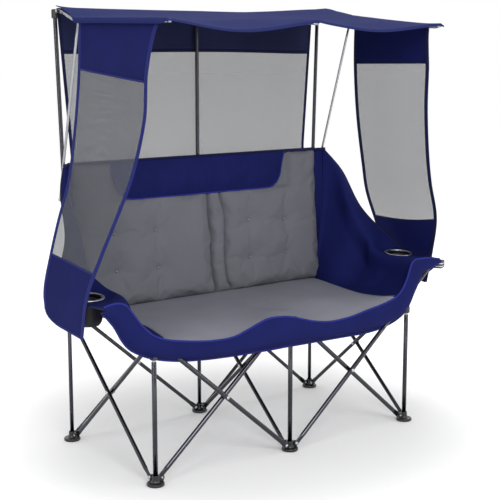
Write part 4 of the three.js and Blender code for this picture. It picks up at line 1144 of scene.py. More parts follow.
def sewn_back(p):
    """How firmly a point of a back cushion is held: at its edges, behind and at the tufts."""
    if p.y > back_y(p.z) + MIDDLE_Y + 2:
        return 1.0
    return 1.0 if any(math.hypot(p.x - x, p.z - z) < TUFT_HOLD for x, z in TUFTS) else 0.0


# Folds in the slack cloth, each as x and height of its two ends, then width and depth: from
# the tufts, at the lower corners and beside the headrest
BACK_FOLDS = [
    (260, 585, 300, 520, 13, 4.5), (210, 583, 190, 520, 12, 3.5), (385, 583, 440, 505, 15, 4),
    (500, 600, 536, 545, 12, 4), (440, 900, 505, 965, 16, 4), (452, 845, 530, 905, 15, 4),
    (135, 540, 170, 488, 12, 4.5), (150, 600, 128, 520, 10, 3), (480, 520, 535, 490, 14, 4.5),
    (-210, 583, -240, 515, 13, 3.5), (-385, 583, -350, 510, 14, 4), (-480, 520, -530, 488, 13, 4.5),
    (20, 560, -20, 492, 12, 4.5), (-20, 640, 18, 560, 12, 3), (-505, 640, -535, 560, 12, 4),
    (-440, 870, -515, 950, 16, 4), (-297, 590, -297, 500, 18, 2.5), (297, 727, 297, 640, 20, 1.5),
]


def fold_back(piece):
    """Presses the folds into the front of a back cushion, each along its own line."""
    for vertex in piece.data.vertices:
        p = vertex.co / MM
        if p.y > back_y(p.z) + MIDDLE_Y + 4:
            continue
        push = 0
        for ax, az, bx, bz, width, depth in BACK_FOLDS:
            long = (bx - ax) ** 2 + (bz - az) ** 2
            t = ((p.x - ax) * (bx - ax) + (p.z - az) * (bz - az)) / long
            far = math.hypot(p.x - mix(ax, bx, clamp(t)), p.z - mix(az, bz, clamp(t))) / width
            push += depth * math.exp(-far * far) * max(math.sin(math.pi * clamp(t, -0.1, 1.1)), 0)
        vertex.co.y += push * MM
    piece.data.update()


for name, low_edge, high_edge, columns, tufted in (
    ("left_back_cushion", lambda z: -BACK_HALF, lambda z: follow(LEFT_SEAM, z) - 0.5, 96, True),
    ("middle_back_cushion", lambda z: follow(LEFT_SEAM, z) - 3, lambda z: follow(RIGHT_SEAM, z) + 3,
     14, False),
    ("right_back_cushion", lambda z: follow(RIGHT_SEAM, z) + 0.5, lambda z: BACK_HALF, 80, True),
):
    shape = cushion_shape(back_pad(low_edge, high_edge, True, tufted),
                          back_pad(low_edge, high_edge, False, tufted),
                          columns, rows=88, wide=540 if tufted else 55, long=512)
    piece = make(name, [shape], back_cloth)
    fold_back(piece)
    stuff(piece, sewn_back, pressure=1.3, growth=0.013, cap=8)
    stand_for(piece, name.replace("cushion", "pad"))
    narrow(piece)

dome = [(0, -3), (5.4, -3), (5.8, 0.6), (5, 2.2), (3, 3.4), (0, 3.9)]
buttons = [turned(dome, vec(x, back_y(z) - PAD_FULL + BUTTON_SUNK, z), vec(0, -1, 0.09), 18)
           for x, z in TUFTS]
button_piece = make("back_tuft_buttons", buttons, button_cover)
narrow(go_with(button_piece, "left_back_pad"))
print("back: 3 pads,", len(TUFTS), "tufts")

# %% Tape along the top of the back
top_line = [vec(x, back_y(BACK_TOP) + BACK_THICK / 2, BACK_TOP - 2) for x in range(-544, 545, 8)]
trim("back_top_tape", "left_back_pad", dark_tape_and_painted_shade, narrow, [top_line], 30, thick=14, sides=16,
     square=0.6)

# %% [markdown]
# ## Headrest
# A long puffed roll lies over the top of the back. Its lower corners are round, and a
# piping of the navy cloth, painted a brighter blue as painted light, runs round its sides and
# lower edge. The stuffing is slack, so soft upright folds cross it.

# %% Headrest
REST_MIDDLE = -10
REST_HALF = 390
REST_INSET = 36
REST_CORNER = 48
REST_EDGE = 7
REST_FULL = 26


def rest_half(v):
    low = max((v - 0.55) / 0.45, 0)
    return REST_HALF - REST_INSET * v - REST_CORNER * (1 - math.sqrt(max(1 - low * low, 0)))


def rest_point(u, v, front):
    s = 2 * u - 1
    z = mix(BACK_TOP, HEADREST_BOTTOM, v)
    swell = (1 - s ** 6) * math.sin(math.pi * mix(0.12, 0.93, v))
    y = back_y(z) - 0.5
    if not front:
        return vec(REST_MIDDLE + s * rest_half(v), y, z)
    folds = 5.5 * noise.noise(vec(s * 7, v * 0.8, 2.5)) + 2.6 * noise.noise(vec(s * 19, v * 1.3, 7))
    y = y - mix(REST_EDGE, REST_FULL, swell) - folds * math.sin(math.pi * v)
    return vec(REST_MIDDLE + s * rest_half(v), y, z)


rest_shape = cushion_shape(lambda u, v: rest_point(u, v, True),
                           lambda u, v: rest_point(u, v, False),
                           columns=130, rows=24, wide=800, long=140)
headrest = make("headrest_cushion", [rest_shape], navy_cloth)
stand_for(headrest, "headrest_pad")
narrow(headrest)


def rest_edge(share):
    """The edge of the headrest from its top left corner round to its top right corner."""
    if share < 0.3:
        return rest_point(0, share / 0.3, True)
    if share > 0.7:
        return rest_point(1, (1 - share) / 0.3, True)
    return rest_point((share - 0.3) / 0.4, 1, True)


rest_line = [rest_edge(i / 150) + vec(0, 1.5, -1) for i in range(151)]
trim("headrest_piping", "headrest_pad", piping_cloth_painted_light, narrow, [rest_line], 7, flat=vec(0, 1, 0))
print("headrest:", 2 * REST_HALF, "mm wide")

# %% [markdown]
# ## Front band
# A navy band hangs from the front edge of the seat and sweeps up to the tip of each arm. It
# is cut on a curve and pulled tight, so it bulges a little and its lower edge turns under.

# %% Front band
BAND_FRONT = SEAT_FRONT - 0.4 - 4
BAND_BULGE = 10
BAND_TURN = 18
band_top = [vec(x, BAND_FRONT, z + 4) for x, z, low_x, low_z in BAND_ROWS]
band_bottom = [vec(low_x, BAND_FRONT, low_z) for x, z, low_x, low_z in BAND_ROWS]


def band_point(u, v):
    point = smooth_line(band_top, u).lerp(smooth_line(band_bottom, u), v)
    bulge = BAND_BULGE * math.sin(math.pi * min(v * 1.15, 1)) ** 0.8
    under = BAND_TURN * ease((v - 0.7) / 0.3)
    return vec(point.x, point.y + 2 - bulge + under, point.z)


band = cloth_piece("front_band_cloth", band_point, navy_cloth, columns=150, rows=16, wide=1560,
                   long=110, thick=2)
stand_for(band, "front_band")
narrow(band)
top_edge = line_of(band_point, 220, (0, 0), (1, 0))
trim("front_band_piping", "front_band", piping_cloth_painted_light, narrow, [top_edge], 7, flat=vec(0, 1, 0))
low_edge = line_of(band_point, 220, (0, 1), (1, 1))
trim("front_band_hem", "front_band", tape, narrow, [low_edge], 9, flat=vec(0, 1, 0), thick=3.4,
     square=0.7)
print("band:", len(BAND_ROWS), "places along its edges")

# %% [markdown]
# ## Arms
# An arm is one padded cloth: an inner wall that rises from the side of the seat, a flat top
# with the cup ring, and an outer edge that is bound. It hangs between the rear pole and the
# tip of the long front brace, so its top line sags like a hammock's.

# %% Arms
ARM_REACH = 188
ARM_REAR_HALF = BAY_WIDTH + 22
ARM_OUTER_HALF = BAY_WIDTH + ARM_REACH
ARM_TOP = BACK_TOP - 3
ARM_PANEL = SEAT_TOP + 129
STRUT_SHARE = (ARM_TOP - COLLAR_Z) / (ELBOW.z - COLLAR_Z)
ARM_REAR = mix(REAR, ELBOW.y, STRUT_SHARE) - 12
ARM_FRONT = -REAR - 20
CUP = vec(ARM_OUTER_HALF - 58, ARM_FRONT + 200, ARM_PANEL - 11)
CUP_TILT = 0.07
CUP_HOLE = 49
CUP_LEVEL = 112
# How far the inner wall sinks in behind its straight line, at the rear and in front
ARM_HOLLOWS = (6, 38)
# How far the arms' lower edge lies inside the seat's side
ARM_TUCK = 9
ARM_TOP_SHARES = [(0, 0, 1), (0.1, 0.16, 0.83), (0.26, 0.16, 0.45), (0.41, 0.26, 0.14),
                  (0.51, 0.14, 0.04), (0.64, 0.1, 0.01), (0.83, 0.17, -0.01), (1, 0.36, -0.015)]
ARM_OUTER_SHARES = [(0, 0.04, 0.985), (0.1, 0.28, 0.79), (0.26, 0.47, 0.41), (0.41, 0.88, 0.13),
                    (0.51, 1, 0.035), (0.64, 1, -0.01), (0.83, 0.93, -0.03), (1, 0.66, -0.035)]


def arm_line(shares):
    return [vec(mix(ARM_REAR_HALF, ARM_OUTER_HALF, out), mix(ARM_REAR, ARM_FRONT, along),
                mix(ARM_PANEL, ARM_TOP, rise)) for along, out, rise in shares]


arm_top = arm_line(ARM_TOP_SHARES)
arm_outer = arm_line(ARM_OUTER_SHARES)

# The share of an arm's width where its inner wall turns into its flat top
RIDGE = 0.75
# Where the arm's front edge turns from the rising band to the level top, and where it ends
FRONT_CORNERS = {-1: (-662, -738), 1: (552, 690)}


def front_edge(way, v):
    """The line where an arm meets the navy band, from the seat's corner outwards."""
    corner_x, end_x = FRONT_CORNERS[way]
    seat_x = way * (seat_half(SEAT_FRONT, way) - ARM_TUCK)
    past = (v - RIDGE) / (1 - RIDGE)
    x = mix(seat_x, corner_x, v / RIDGE) if v < RIDGE else mix(corner_x, end_x, past)
    return vec(way * x, BAND_FRONT + 3, SEAT_TOP + follow(FRONT_LINE, x) - 1)


def arm_point(way, u, v):
    top = smooth_line(arm_top, u)
    outer = smooth_line(arm_outer, u)
    y = clamp(min(top.y, SEAT_REAR), SEAT_FRONT, SEAT_REAR)
    share = (y - SEAT_FRONT) / (SEAT_REAR - SEAT_FRONT)
    base = vec(seat_half(y, way) - ARM_TUCK, min(top.y, SEAT_REAR), seat_height(way, share) - 6)
    hollow = mix(*ARM_HOLLOWS, ease(u / 0.45))
    sag = vec(hollow, 0, -hollow)
    at = smooth_line([base, base.lerp(top, 1 / 3) + sag, base.lerp(top, 2 / 3) + sag, top, outer], v)
    # The cloth lies level round the cup ring
    near = ease((CUP_LEVEL - (at - CUP).xy.length) / 50)
    at.z = mix(at.z, CUP.z + 0.5 + CUP_TILT * (at.y - CUP.y), near)
    return at.lerp(front_edge(way, v), ease((u - 0.72) / 0.28))


def arm_face(way):
    def face(u, v):
        at = arm_point(way, u, v)
        return vec(way * at.x, at.y, at.z)
    return face


def cut_hole(piece, at, radius):
    """Takes out the cloth inside a ring, and draws the cut edge to the ring's line."""
    middle = spot(at)
    work = bmesh.new()
    work.from_mesh(piece.data)
    inside = [f for f in work.faces
              if (f.calc_center_median() - middle).xy.length < radius * MM
              and abs(f.calc_center_median().z - middle.z) < 60 * MM]
    touched = {v for f in inside for v in f.verts}
    bmesh.ops.delete(work, geom=inside, context="FACES")
    for vertex in touched:
        if vertex.is_valid:
            way_out = (vertex.co - middle).xy
            moved = way_out.normalized() * radius * MM
            vertex.co.x, vertex.co.y = middle.x + moved.x, middle.y + moved.y
    work.to_mesh(piece.data)
    work.free()


for name, way in SIDES:
    node = f"{name}_arm"
    face = arm_face(way)
    arm = cloth_piece(f"{name}_arm_cloth", face, navy_cloth, columns=72, rows=44, wide=640,
                      long=420, thick=5)
    cup = vec(way * CUP.x, CUP.y, CUP.z)
    cut_hole(arm, cup, CUP_HOLE)
    uneven(arm, size=90, height=2.4, seed=3 + way,
           share=lambda p: ease(((p - spot(cup) / MM).length - 70) / 60))
    stand_for(arm, node)
    shorten(arm)
    outer_edge = [p + vec(0, 0, 0.5) for p in line_of(face, 160, (0, 1), (1, 1))]
    trim(f"{name}_arm_edge_tape", node, dark_tape_and_painted_shade, shorten, [outer_edge], 10, thick=7.5, square=0.7)
    ridge = line_of(face, 120, (0.3, RIDGE), (0.98, RIDGE))
    trim(f"{name}_arm_seam", node, navy_cloth, shorten, [ridge], 3.4)
    front = line_of(face, 60, (1, 0), (1, 1))
    trim(f"{name}_arm_front_tape", node, tape, shorten, [front], 6, flat=vec(0, 1, 0))

    def flange_point(u, v):
        """The cloth that joins the side of the back to the rear edge of the arm."""
        z = mix(BACK_BOTTOM, BACK_TOP - 6, v)
        back_edge = vec(BACK_HALF - 3, back_y(z) + 9, z)
        arm_edge = arm_point(way, 0, RIDGE * v)
        at = back_edge.lerp(arm_edge, u)
        return vec(way * (at.x + 0.5), at.y + 5 * math.sin(math.pi * u), at.z)

    flange = cloth_piece(f"{name}_arm_flange", flange_point, navy_cloth, columns=8, rows=60,
                         wide=50, long=500, thick=4)
    go_with(flange, node)
    shorten(flange)
    rest = [flange_point(i / 8, 1) + vec(0, 0, 2) for i in range(-1, 10)]
    trim(f"{name}_flange_tape", node, dark_tape_and_painted_shade, shorten, [rest], 16, thick=12, square=0.7)
print("arms:", len(SIDES))

# %% [markdown]
# ## Cup rings and net pouches
# A moulded ring with a bright lip holds the mouth of each pouch open. The pouch is a knotted
# net over a dark lining: its cords run round it both ways on the slant, and a solid tape
# closes its mouth.

# %% Cup rings and net pouches
POUCH_DEEP = 76
POUCH_MOUTH = 7
# The radius at the mouth, at three quarters of the depth and at the foot
POUCH_RADII = (47, 45, 36)
POUCH_CORDS = 26
NET_CORD = 2.2


def pouch_radius(share):
    """The pouch's radius at a share of its depth below the mouth."""
    mouth, wall, foot = POUCH_RADII
    return mix(mouth, wall, share) if share < 0.75 else mix(wall, foot, ((share - 0.75) / 0.25) ** 2)


def pouch_point(at, turn, share):
    c, s = math.cos(turn), math.sin(turn)
    radius = pouch_radius(share) * (1 + 0.035 * noise.noise(vec(c * 2, s * 2, share * 3)))
    return at + vec(radius * c, radius * s, -POUCH_MOUTH - POUCH_DEEP * share)


def leaned(shape, at):
    """A ring lies as the cloth does, a little lower at its front."""
    return [p + vec(0, 0, CUP_TILT * (p.y - at.y)) for p in shape[0]], *shape[1:]


for name, way in SIDES:
    at = vec(way * CUP.x, CUP.y, CUP.z)
    wall = [(45.4, -6), (53, -6), (54, -5), (54, 3), (52.6, 5.2), (50, 6), (47, 5.4), (45.4, 3)]
    moulding(f"{name}_cup_ring", "shell", [leaned(ring(wall, at, sides=64), at)])
    lip = [(44.6, 3.4), (45.4, 6.4), (49.4, 8), (54, 7), (55.4, 4.6), (54.2, 3.6), (50, 5), (46, 3)]
    go_with(make(f"{name}_cup_ring_lip", [leaned(ring(lip, at, sides=64), at)], silver_tape),
            f"{name}_cup_ring")
    steps = [(pouch_radius(i / 12), -POUCH_MOUTH - POUCH_DEEP * i / 12) for i in range(13)]
    lining = [(radius - 2, z) for radius, z in steps]
    lining += [(0, -8.5 - POUCH_DEEP), (0, -7.5 - POUCH_DEEP)]
    lining += [(radius - 2.8, z) for radius, z in reversed(steps)]
    cords = [ring(lining, at, sides=48)]
    for slant in (-1, 1):
        for k in range(POUCH_CORDS):
            first = 2 * math.pi * k / POUCH_CORDS
            run = [pouch_point(at, first + slant * 1.5 * i / 18, i / 18) for i in range(19)]
            cords.append(cord_along(run, NET_CORD, sides=5))
    for share, size in ((0.0, 5), (1.0, 2.4)):
        hoop = [pouch_point(at, 2 * math.pi * i / 48, share) for i in range(49)]
        cords.append(cord_along(hoop, size, sides=8))
    for k in range(12):
        a, b = hoop[4 * k], hoop[(4 * k + 21) % 48]
        run = [a.lerp(b, i / 6) - vec(0, 0, 1.2 * math.sin(math.pi * i / 6)) for i in range(7)]
        cords.append(cord_along(run, NET_CORD, sides=5))
    pouch = make(f"{name}_net_pouch_cords", cords, net_cord)
    stand_for(pouch, f"{name}_net_pouch")
print("cup rings and pouches:", len(SIDES), "each with", 2 * POUCH_CORDS, "slanted cords")

# %% [markdown]
# ## Stem-glass holder
# On the right arm a padded tongue reaches out, with a slot for the stem of a glass. A black
# end band with silver reflective stripes stiffens it.

# %% Stem-glass holder
HOLDER = vec(ARM_OUTER_HALF - 48, ARM_FRONT + 80, ARM_PANEL - 15.8)
HOLDER_LONG = 80
HOLDER_HALF = 20
HOLDER_TALL = 26
HOLDER_TURN = math.radians(-60)


def arc(x, y, radius, degrees):
    """Points round a centre, at angles counted from the holder's length."""
    return [(x + radius * math.cos(math.radians(a)), y + radius * math.sin(math.radians(a)))
            for a in degrees]


def holder_outline(grow=0.0, start_at=0.0):
    slot = 6 - grow
    half = HOLDER_HALF + grow
    tip = HOLDER_LONG + grow
    inner = max(HOLDER_LONG - 46, start_at + 4)
    points = [(start_at, -half), (tip - 9, -half), *arc(tip - 9, 9 - half, 9, range(-75, 1, 15))]
    points += [(tip, -slot), (inner, -slot), *arc(inner, 0, slot, range(-120, -241, -30))]
    points += [(inner, slot), (tip, slot), *arc(tip - 9, half - 9, 9, range(0, 76, 15))]
    return points + [(tip - 9, half), (start_at, half)]


def flat_solid(outline, low, high):
    """A solid with a level outline, placed on the right arm's holder."""
    c, s = math.cos(HOLDER_TURN), math.sin(HOLDER_TURN)
    points = []
    for z in (low, high):
        points += [HOLDER + vec(x * c - y * s, x * s + y * c, z - HOLDER_TALL) for x, y in outline]
    return points, prism_faces(len(outline)), [(p.x * MM, p.y * MM) for p in points]


tongue = make("glass_holder_tongue", [flat_solid(holder_outline(), 0, HOLDER_TALL)], navy_cloth, bevel=4)
tongue.modifiers["broken edges"].segments = 4
stand_for(tongue, "glass_holder")
end_band = make("glass_holder_end_band", [flat_solid(holder_outline(1.2, 44), -1, HOLDER_TALL + 1)],
                black_plastic, bevel=3)
go_with(end_band, "glass_holder")
stripes = make("glass_holder_stripes", [flat_solid(holder_outline(1.8, 45), *levels)
                                        for levels in ((5, 9), (16, 20))], silver_tape, bevel=0.4)
go_with(stripes, "glass_holder")
print("glass holder:", HOLDER_LONG, "by", 2 * HOLDER_HALF, "mm")

# %% [markdown]
# ## Sail
# The sail is one sheet over the three ribs. Between them it hangs a little, and its corners
# are drawn up and out to points. Its underside is painted almost black, as painted shade,
# and its top a lighter navy than the rest of the cloth, as painted light from above.

# %% Sail
CLOTH = 3
SAIL_REAR = REAR + 18
SAIL_FRONT = RIB_END.y - 6
SAIL_REAR_HALVES = {-1: CAP_X - 2, 1: CAP_X + 36}
SAIL_SAG = 12
SAIL_RIPPLE = 2.2
CAP_RISE = 2.5
# How far the front edge hangs between the ribs, left and right, and how far it bows back
FRONT_HANGS = (21, 9)
FRONT_BOW = 8
FRONT_PEAK = 3
CORNER_CUT = 26
# The share of the sail's width that is turned down beside each side rib
VALANCE = 0.045


def center_rib_z(y):
    return mix(RIB_Z, RIB_END.z, (RIB_Y - min(y, RIB_Y)) / RIB_REACH)


# The right side is pulled tighter: from its rear corner the cloth runs straight to the
# front of the rib, clear of the dip at the elbow. Heights above the rib, by depth.
TAUT_LIFT = [(-410, 0), (-319, 0), (-189, 7), (-85, 14), (0, 21), (97, 28), (200, 22), (262, 18), (300, 16)]


def lift(s, y):
    return follow(TAUT_LIFT, y) * ease((s - 0.25) / 0.75)


def sail_height(s, y):
    across = abs(s)
    rear_share = max((y - RIB_Y) / (SAIL_REAR - RIB_Y), 0)
    over_caps = clamp((y - ELBOW.y) / ELBOW_REACH * 2)
    over_ribs = mix(center_rib_z(y), rib_at(y).z, across * across)
    ahead = clamp((SAIL_REAR - y) / (SAIL_REAR - SAIL_FRONT))
    sag = SAIL_SAG * math.sin(math.pi * across) ** 2 * ahead
    corner_rise = 6 * rear_share * across ** 12
    on_rib = over_ribs + RIB_TUBE / 2 + 0.5 + CLOTH / 2
    return on_rib - sag + corner_rise + CAP_RISE * over_caps + lift(s, y)


def sail_half(way, y):
    over_rib = rib_at(y).x + 9
    if y < ELBOW.y:
        return over_rib
    return mix(over_rib, SAIL_REAR_HALVES[way], ((y - ELBOW.y) / (SAIL_REAR - ELBOW.y)) ** 0.8)


def sail_point(u, v):
    fall = max(VALANCE - u, u - 1 + VALANCE, 0) / VALANCE
    s = clamp((2 * u - 1) / (1 - 2 * VALANCE), -1, 1)
    way = -1 if s < 0 else 1
    across = abs(s)
    y = mix(SAIL_REAR, SAIL_FRONT, v)
    near_front = ease(v * 4 - 3)
    bow = mix(*FRONT_HANGS, (s + 1) / 2) * math.sin(math.pi * across) * near_front
    peak = FRONT_PEAK * math.exp(-(across / 0.06) ** 2) * near_front
    ripple = SAIL_RIPPLE * noise.noise(vec(s * 5, v * 2.5, 4)) * math.sin(math.pi * clamp(v, 0, 1))
    front_bow = FRONT_BOW * math.sin(math.pi * across) ** 2 * near_front
    corner_cut = CORNER_CUT * across ** 10 * (1 - ease(v * 6))
    at = vec(s * sail_half(way, y), y + front_bow - corner_cut, sail_height(s, y) - bow + peak + ripple)
    at.z -= 7 * ease((v - 0.985) / 0.015)
    # Beside the rib the cloth turns down and is sewn round it
    drop = max(at.z - rib_at(y).z + 8, 0) * ease((ELBOW.y + 10 - y) / 26)
    drop *= mix(1, 0.45, ease((v - 0.94) / 0.06))
    at.z -= drop * fall
    at.x += way * 3 * math.sin(math.pi * min(fall, 0.5)) * ease((ELBOW.y + 10 - y) / 26)
    return at


# The sail's top takes the lighter cloth of painted light.
sail = cloth_piece("sail_cloth_painted_light", sail_point, sail_cloth_painted_light, columns=132, rows=72, wide=1190,
                   long=705, thick=1.4)
# The inner face takes the near-black cloth of painted shade.
sail.data.materials.append(sail_underside_painted_shade)
sail.modifiers["cloth thickness"].material_offset = 1
sail.modifiers["cloth thickness"].material_offset_rim = 0
stand_for(sail, "canopy_sail")
narrow(sail)

hem_lines = [line_of(sail_point, 120, *ends) for ends in
             (((0, 0), (1, 0)), ((1, 0), (1, 1)), ((1, 1), (0, 1)), ((0, 1), (0, 0)))]
trim("sail_hem", "canopy_sail", sail_cloth_painted_light, narrow, hem_lines, 5, "sail_fabric", thick=2.8,
     square=0.7)
print("sail:", round(SAIL_REAR - SAIL_FRONT), "mm deep")

# %% [markdown]
# ## Rear screen
# A screen hangs from the rear edge of the sail behind the poles: a band of the navy cloth,
# then the open mesh down behind the top of the back, with a tape on each side.

# %% Rear screen
PANEL_Y = REAR + 12 + 2.2
PANEL_TOP_HALF = BAY_WIDTH + 2
PANEL_BOTTOM_HALF = BAY_WIDTH - 36
PANEL_BOTTOM = BACK_TOP - 28
BAND_LOW_SHARE = 0.265


def screen_point(u, v):
    s = 2 * u - 1
    half = mix(PANEL_TOP_HALF, PANEL_BOTTOM_HALF, min(v * 1.1, 1))
    top = sail_height(s * PANEL_TOP_HALF / CAP_X, PANEL_Y) - lift(s, PANEL_Y) - CLOTH / 2 - 1.8
    wave = 2.2 * math.sin(5 * math.pi * s + 1) * v + 1.5 * noise.noise(vec(s * 4, v * 2, 1))
    arch = 9 * (1 - s * s) * math.exp(-((v - BAND_LOW_SHARE) / 0.3) ** 2)
    return vec(s * half, PANEL_Y + wave, mix(top, PANEL_BOTTOM, v) + arch)


screen_band = cloth_piece("rear_screen_band", screen_point, screen_cloth, columns=90, rows=10,
                          wide=1100, long=560, v_span=(0, BAND_LOW_SHARE))
stand_for(screen_band, "rear_panel")
narrow(screen_band)
screen_mesh = cloth_piece("rear_screen_mesh", screen_point, sun_mesh, columns=90, rows=24,
                          wide=1100, long=560, thick=0.5, v_span=(BAND_LOW_SHARE, 1))
go_with(screen_mesh, "rear_panel")
narrow(screen_mesh)
tape_ends = (((0, 0), (0, 1)), ((1, 0), (1, 1)),
             ((0, BAND_LOW_SHARE), (1, BAND_LOW_SHARE)), ((0, 1), (1, 1)))
trim("rear_screen_tape", "rear_panel", dark_tape_and_painted_shade, narrow,
     [line_of(screen_point, 60, *ends) for ends in tape_ends], 12, flat=vec(0, 1, 0), thick=3.2,
     square=0.6)
print("rear screen: 2 cloths, tape on", len(tape_ends), "lines")

# %% [markdown]
# ## Side curtains
# A curtain hangs from each side rib: navy cloth at the top, mesh in the middle and navy
# cloth at the foot, which swings out over the arm. Folded tape binds its long edges.

# %% Side curtains
CURTAIN_OUT = ARM_OUTER_HALF + 14
CURTAIN_TOP_REAR = ELBOW.y - 29
CURTAIN_TOP_FRONT = SAIL_FRONT + 64
CURTAIN_REAR_SHARES = [(0.21, 0.72, 0), (0.22, 0.73, 0.15), (0.31, 0.735, 0.355), (0.47, 0.735, 0.555),
                       (0.63, 0.752, 0.672), (0.81, 0.735, 0.782), (0.985, 0.705, 0.9), (1, 0.69, 1)]
CURTAIN_FRONT_SHARES = [(0.04, 0, 0), (0.17, 0.045, 0.155), (0.2, 0.059, 0.31), (0.374, 0.095, 0.487),
                        (0.55, 0.126, 0.592), (0.826, 0.163, 0.733), (0.965, 0.237, 0.865),
                        (0.98, 0.292, 1)]
CURTAIN_WIDE = 330
CURTAIN_WAVE = 2.5
FOOT_ROUND = 30
TAPE_WIDE = 17
# Where the bands end, as shares of the length at the rear edge and at the front edge
BANDS = {"left": ((0.152, 0.18), (0.717, 0.775)), "right": ((0.143, 0.137), (0.712, 0.725))}


def curtain_line(shares, bottom):
    return [vec(mix(BAY_WIDTH, CURTAIN_OUT, out), mix(CURTAIN_TOP_FRONT, CURTAIN_TOP_REAR, back / 0.72),
                mix(ELBOW.z, bottom, drop)) for out, back, drop in shares]


curtain_rear = curtain_line(CURTAIN_REAR_SHARES, SEAT_TOP + 37)
curtain_front = curtain_line(CURTAIN_FRONT_SHARES, SEAT_TOP + 15)


def curtain_face(way, bands):
    """The curtain's face. Its length is shared out so that bands end at v = 1, 2 and 3."""
    hang = 0.012 if way > 0 else 0.002

    def face(u, v):
        stops = [0, *(mix(rear, front, u) for rear, front in bands), 1]
        part = min(int(v), 2)
        share = mix(stops[part], stops[part + 1], v - part)
        if part == 1:
            share += hang * math.sin(math.pi * u) * ease(v - 1)
        elif part == 2:
            share += hang * math.sin(math.pi * u) * (1 - ease(v - 2))
        at = smooth_line(curtain_rear, share).lerp(smooth_line(curtain_front, share), u)
        near_top = max(1 - share * 7, 0)
        at.z = mix(at.z, rib_at(at.y).z - RIB_TUBE / 2 - 0.5, near_top)
        at.x = mix(at.x, rib_at(at.y).x, near_top)
        rounded = 1 - math.sqrt(1 - (1 - clamp(u / 0.45)) ** 2)
        at.z += FOOT_ROUND * rounded * ease((share - 0.86) / 0.14)
        wave = math.sin(2.5 * math.pi * u + 0.6) * math.sin(math.pi * min(share * 1.4, 1))
        return vec(way * (at.x + CURTAIN_WAVE * wave), at.y, at.z)
    return face


for name, way in SIDES:
    face = curtain_face(way, BANDS[name])
    node = f"{name}_curtain"
    top = cloth_piece(f"{name}_curtain_top", face, navy_cloth, columns=40, rows=14,
                      wide=CURTAIN_WIDE, long=320, v_span=(0, 1))
    stand_for(top, node)
    middle = cloth_piece(f"{name}_curtain_mesh", face, sun_mesh, columns=40, rows=52,
                         wide=CURTAIN_WIDE, long=600, thick=0.5, v_span=(1, 2))
    go_with(middle, node)
    foot = cloth_piece(f"{name}_curtain_foot", face, navy_cloth, columns=48, rows=28,
                       wide=CURTAIN_WIDE, long=320, v_span=(2, 3))
    go_with(foot, node)
    sides = [cord_along(line_of(face, 150, *ends), wide, flat=vec(1, 0, 0), thick=3.4, square=0.6)
             for wide, ends in ((TAPE_WIDE, ((0, 0), (0, 3))), (TAPE_WIDE, ((1, 0), (1, 3))),
                                (8, ((0, 3), (1, 3))))]
    bands = [cord_along(line_of(face, 50, (0, v), (1, v)), 7, flat=vec(1, 0, 0), thick=2.8, square=0.7)
             for v in (1, 2)]
    # The right curtain takes the dark tape as painted shade, and the left takes the navy tape.
    binding = make(f"{name}_curtain_tape", sides + bands, tape if way < 0 else dark_tape_and_painted_shade)
    go_with(binding, node)
    for piece in (top, middle, foot, binding):
        tuple(spot(vec(way * RIB_END.x, 0, ELBOW.z)))
        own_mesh(piece)
print("curtains:", len(SIDES))
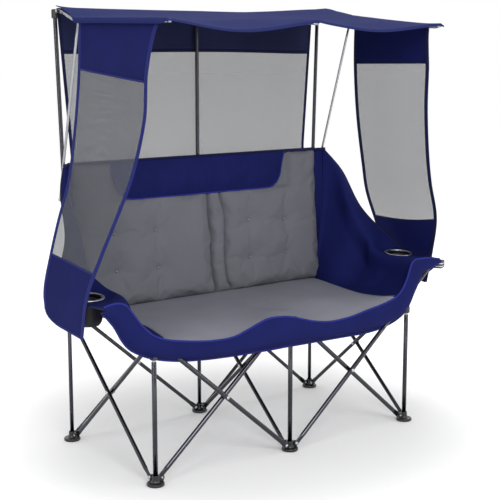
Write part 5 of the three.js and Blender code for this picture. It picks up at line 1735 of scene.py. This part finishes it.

# %% [markdown]
# ## Studio
# The chair stands on a pale floor in even light. A large soft lamp from the upper left
# models the cushions, and two tall strip lamps draw the bright lines along the tubes. The
# background is white by its own colour, seen by the camera and by reflections. The floor
# also glows for the camera and in reflections, little near the feet and more further out,
# so that it is white in the distance and its shadow fades out: painted light.

# %% Floor and background
def painted_glow_floor_finish():
    material, tree, shader = start("pale studio floor with painted glow", Roughness=0.9)
    shader.inputs["Specular IOR Level"].default_value = 0.1
    shader.inputs["Base Color"].default_value = linear("#ededed")
    seen = add(tree, "ShaderNodeLightPath")
    either = add(tree, "ShaderNodeMath", {0: seen.outputs["Is Camera Ray"],
                                          1: seen.outputs["Is Glossy Ray"]}, operation="MAXIMUM")
    # The glow is painted light: little near the feet and more further out, so the far floor is white and
    # the shadow fades out.
    place = add(tree, "ShaderNodeNewGeometry")
    far = add(tree, "ShaderNodeVectorMath", {0: place.outputs["Position"]}, operation="LENGTH")
    near = add(tree, "ShaderNodeMapRange", {"Value": far.outputs["Value"], "From Min": 0.5,
                                            "From Max": 1.4, "To Min": 0.05, "To Max": 0.5},
               interpolation_type="SMOOTHSTEP")
    rise = add(tree, "ShaderNodeMapRange", {"Value": far.outputs["Value"], "From Min": 3.0,
                                            "From Max": 9.0, "To Max": -0.14},
               interpolation_type="SMOOTHSTEP")
    rise = add(tree, "ShaderNodeMath", {0: near.outputs[0], 1: rise.outputs[0]}, operation="ADD")
    share = add(tree, "ShaderNodeMath", {0: either.outputs[0], 1: rise.outputs[0]}, operation="MULTIPLY")
    glow = add(tree, "ShaderNodeEmission", {"Color": (1, 1, 1, 1), "Strength": share.outputs[0]})
    both = add(tree, "ShaderNodeAddShader", {0: shader.outputs[0], 1: glow.outputs[0]})
    tree.links.new(both.outputs[0], tree.nodes["Material Output"].inputs["Surface"])
    return material


# The floor in metres: half its side, and its height just under the feet
FLOOR_HALF = 60
FLOOR_Z = -0.0005
AMBIENT = 0.74
floor_mesh = bpy.data.meshes.new("floor")
floor_corners = [(x * FLOOR_HALF, y * FLOOR_HALF, FLOOR_Z) for x, y in ((-1, -1), (1, -1), (1, 1), (-1, 1))]
floor_mesh.from_pydata(floor_corners, [], [(0, 1, 2, 3)])
floor_mesh.materials.append(painted_glow_floor_finish())
show("floor", floor_mesh)

world = bpy.data.worlds.new("studio")
bpy.context.scene.world = world
world.use_nodes = True
sky = world.node_tree
rays = add(sky, "ShaderNodeLightPath")
shown = rays.outputs["Is Camera Ray"]
for kind in ("Is Transmission Ray", "Is Glossy Ray"):
    shown = add(sky, "ShaderNodeMath", {0: shown, 1: rays.outputs[kind]}, operation="MAXIMUM").outputs[0]
level = add(sky, "ShaderNodeMapRange", {"Value": shown, "To Min": AMBIENT, "To Max": 1.0})
backdrop = sky.nodes["Background"]
sky.links.new(level.outputs[0], backdrop.inputs["Strength"])
backdrop.inputs["Color"].default_value = (1, 1, 1, 1)
print("ambient light:", AMBIENT)

# %% Lamps
def lamp(name, place, target, wide, tall, watts):
    """A soft rectangular lamp. Its place, target and size are in metres."""
    data = bpy.data.lights.new(name, "AREA")
    data.shape = "RECTANGLE"
    data.size, data.size_y = wide, tall
    data.energy = watts
    made = show(name, data)
    made.location = place
    made.rotation_euler = (Vector(target) - Vector(place)).to_track_quat("-Z", "Y").to_euler()


lamp("key", (-1.9, -4.4, 3.2), (0, 0, 0.6), 2.6, 1.8, 150)
lamp("overhead", (0.2, 0.2, 4.2), (0, 0, 0.6), 1.8, 1.8, 30)
lamp("left strip", (-3.3, -1.2, 1.1), (0, 0, 0.8), 0.1, 2.4, 16)
lamp("right strip", (2.4, -3.2, 1.2), (0, 0, 0.8), 0.1, 2.4, 16)
print("lamps:", len(bpy.data.lights))
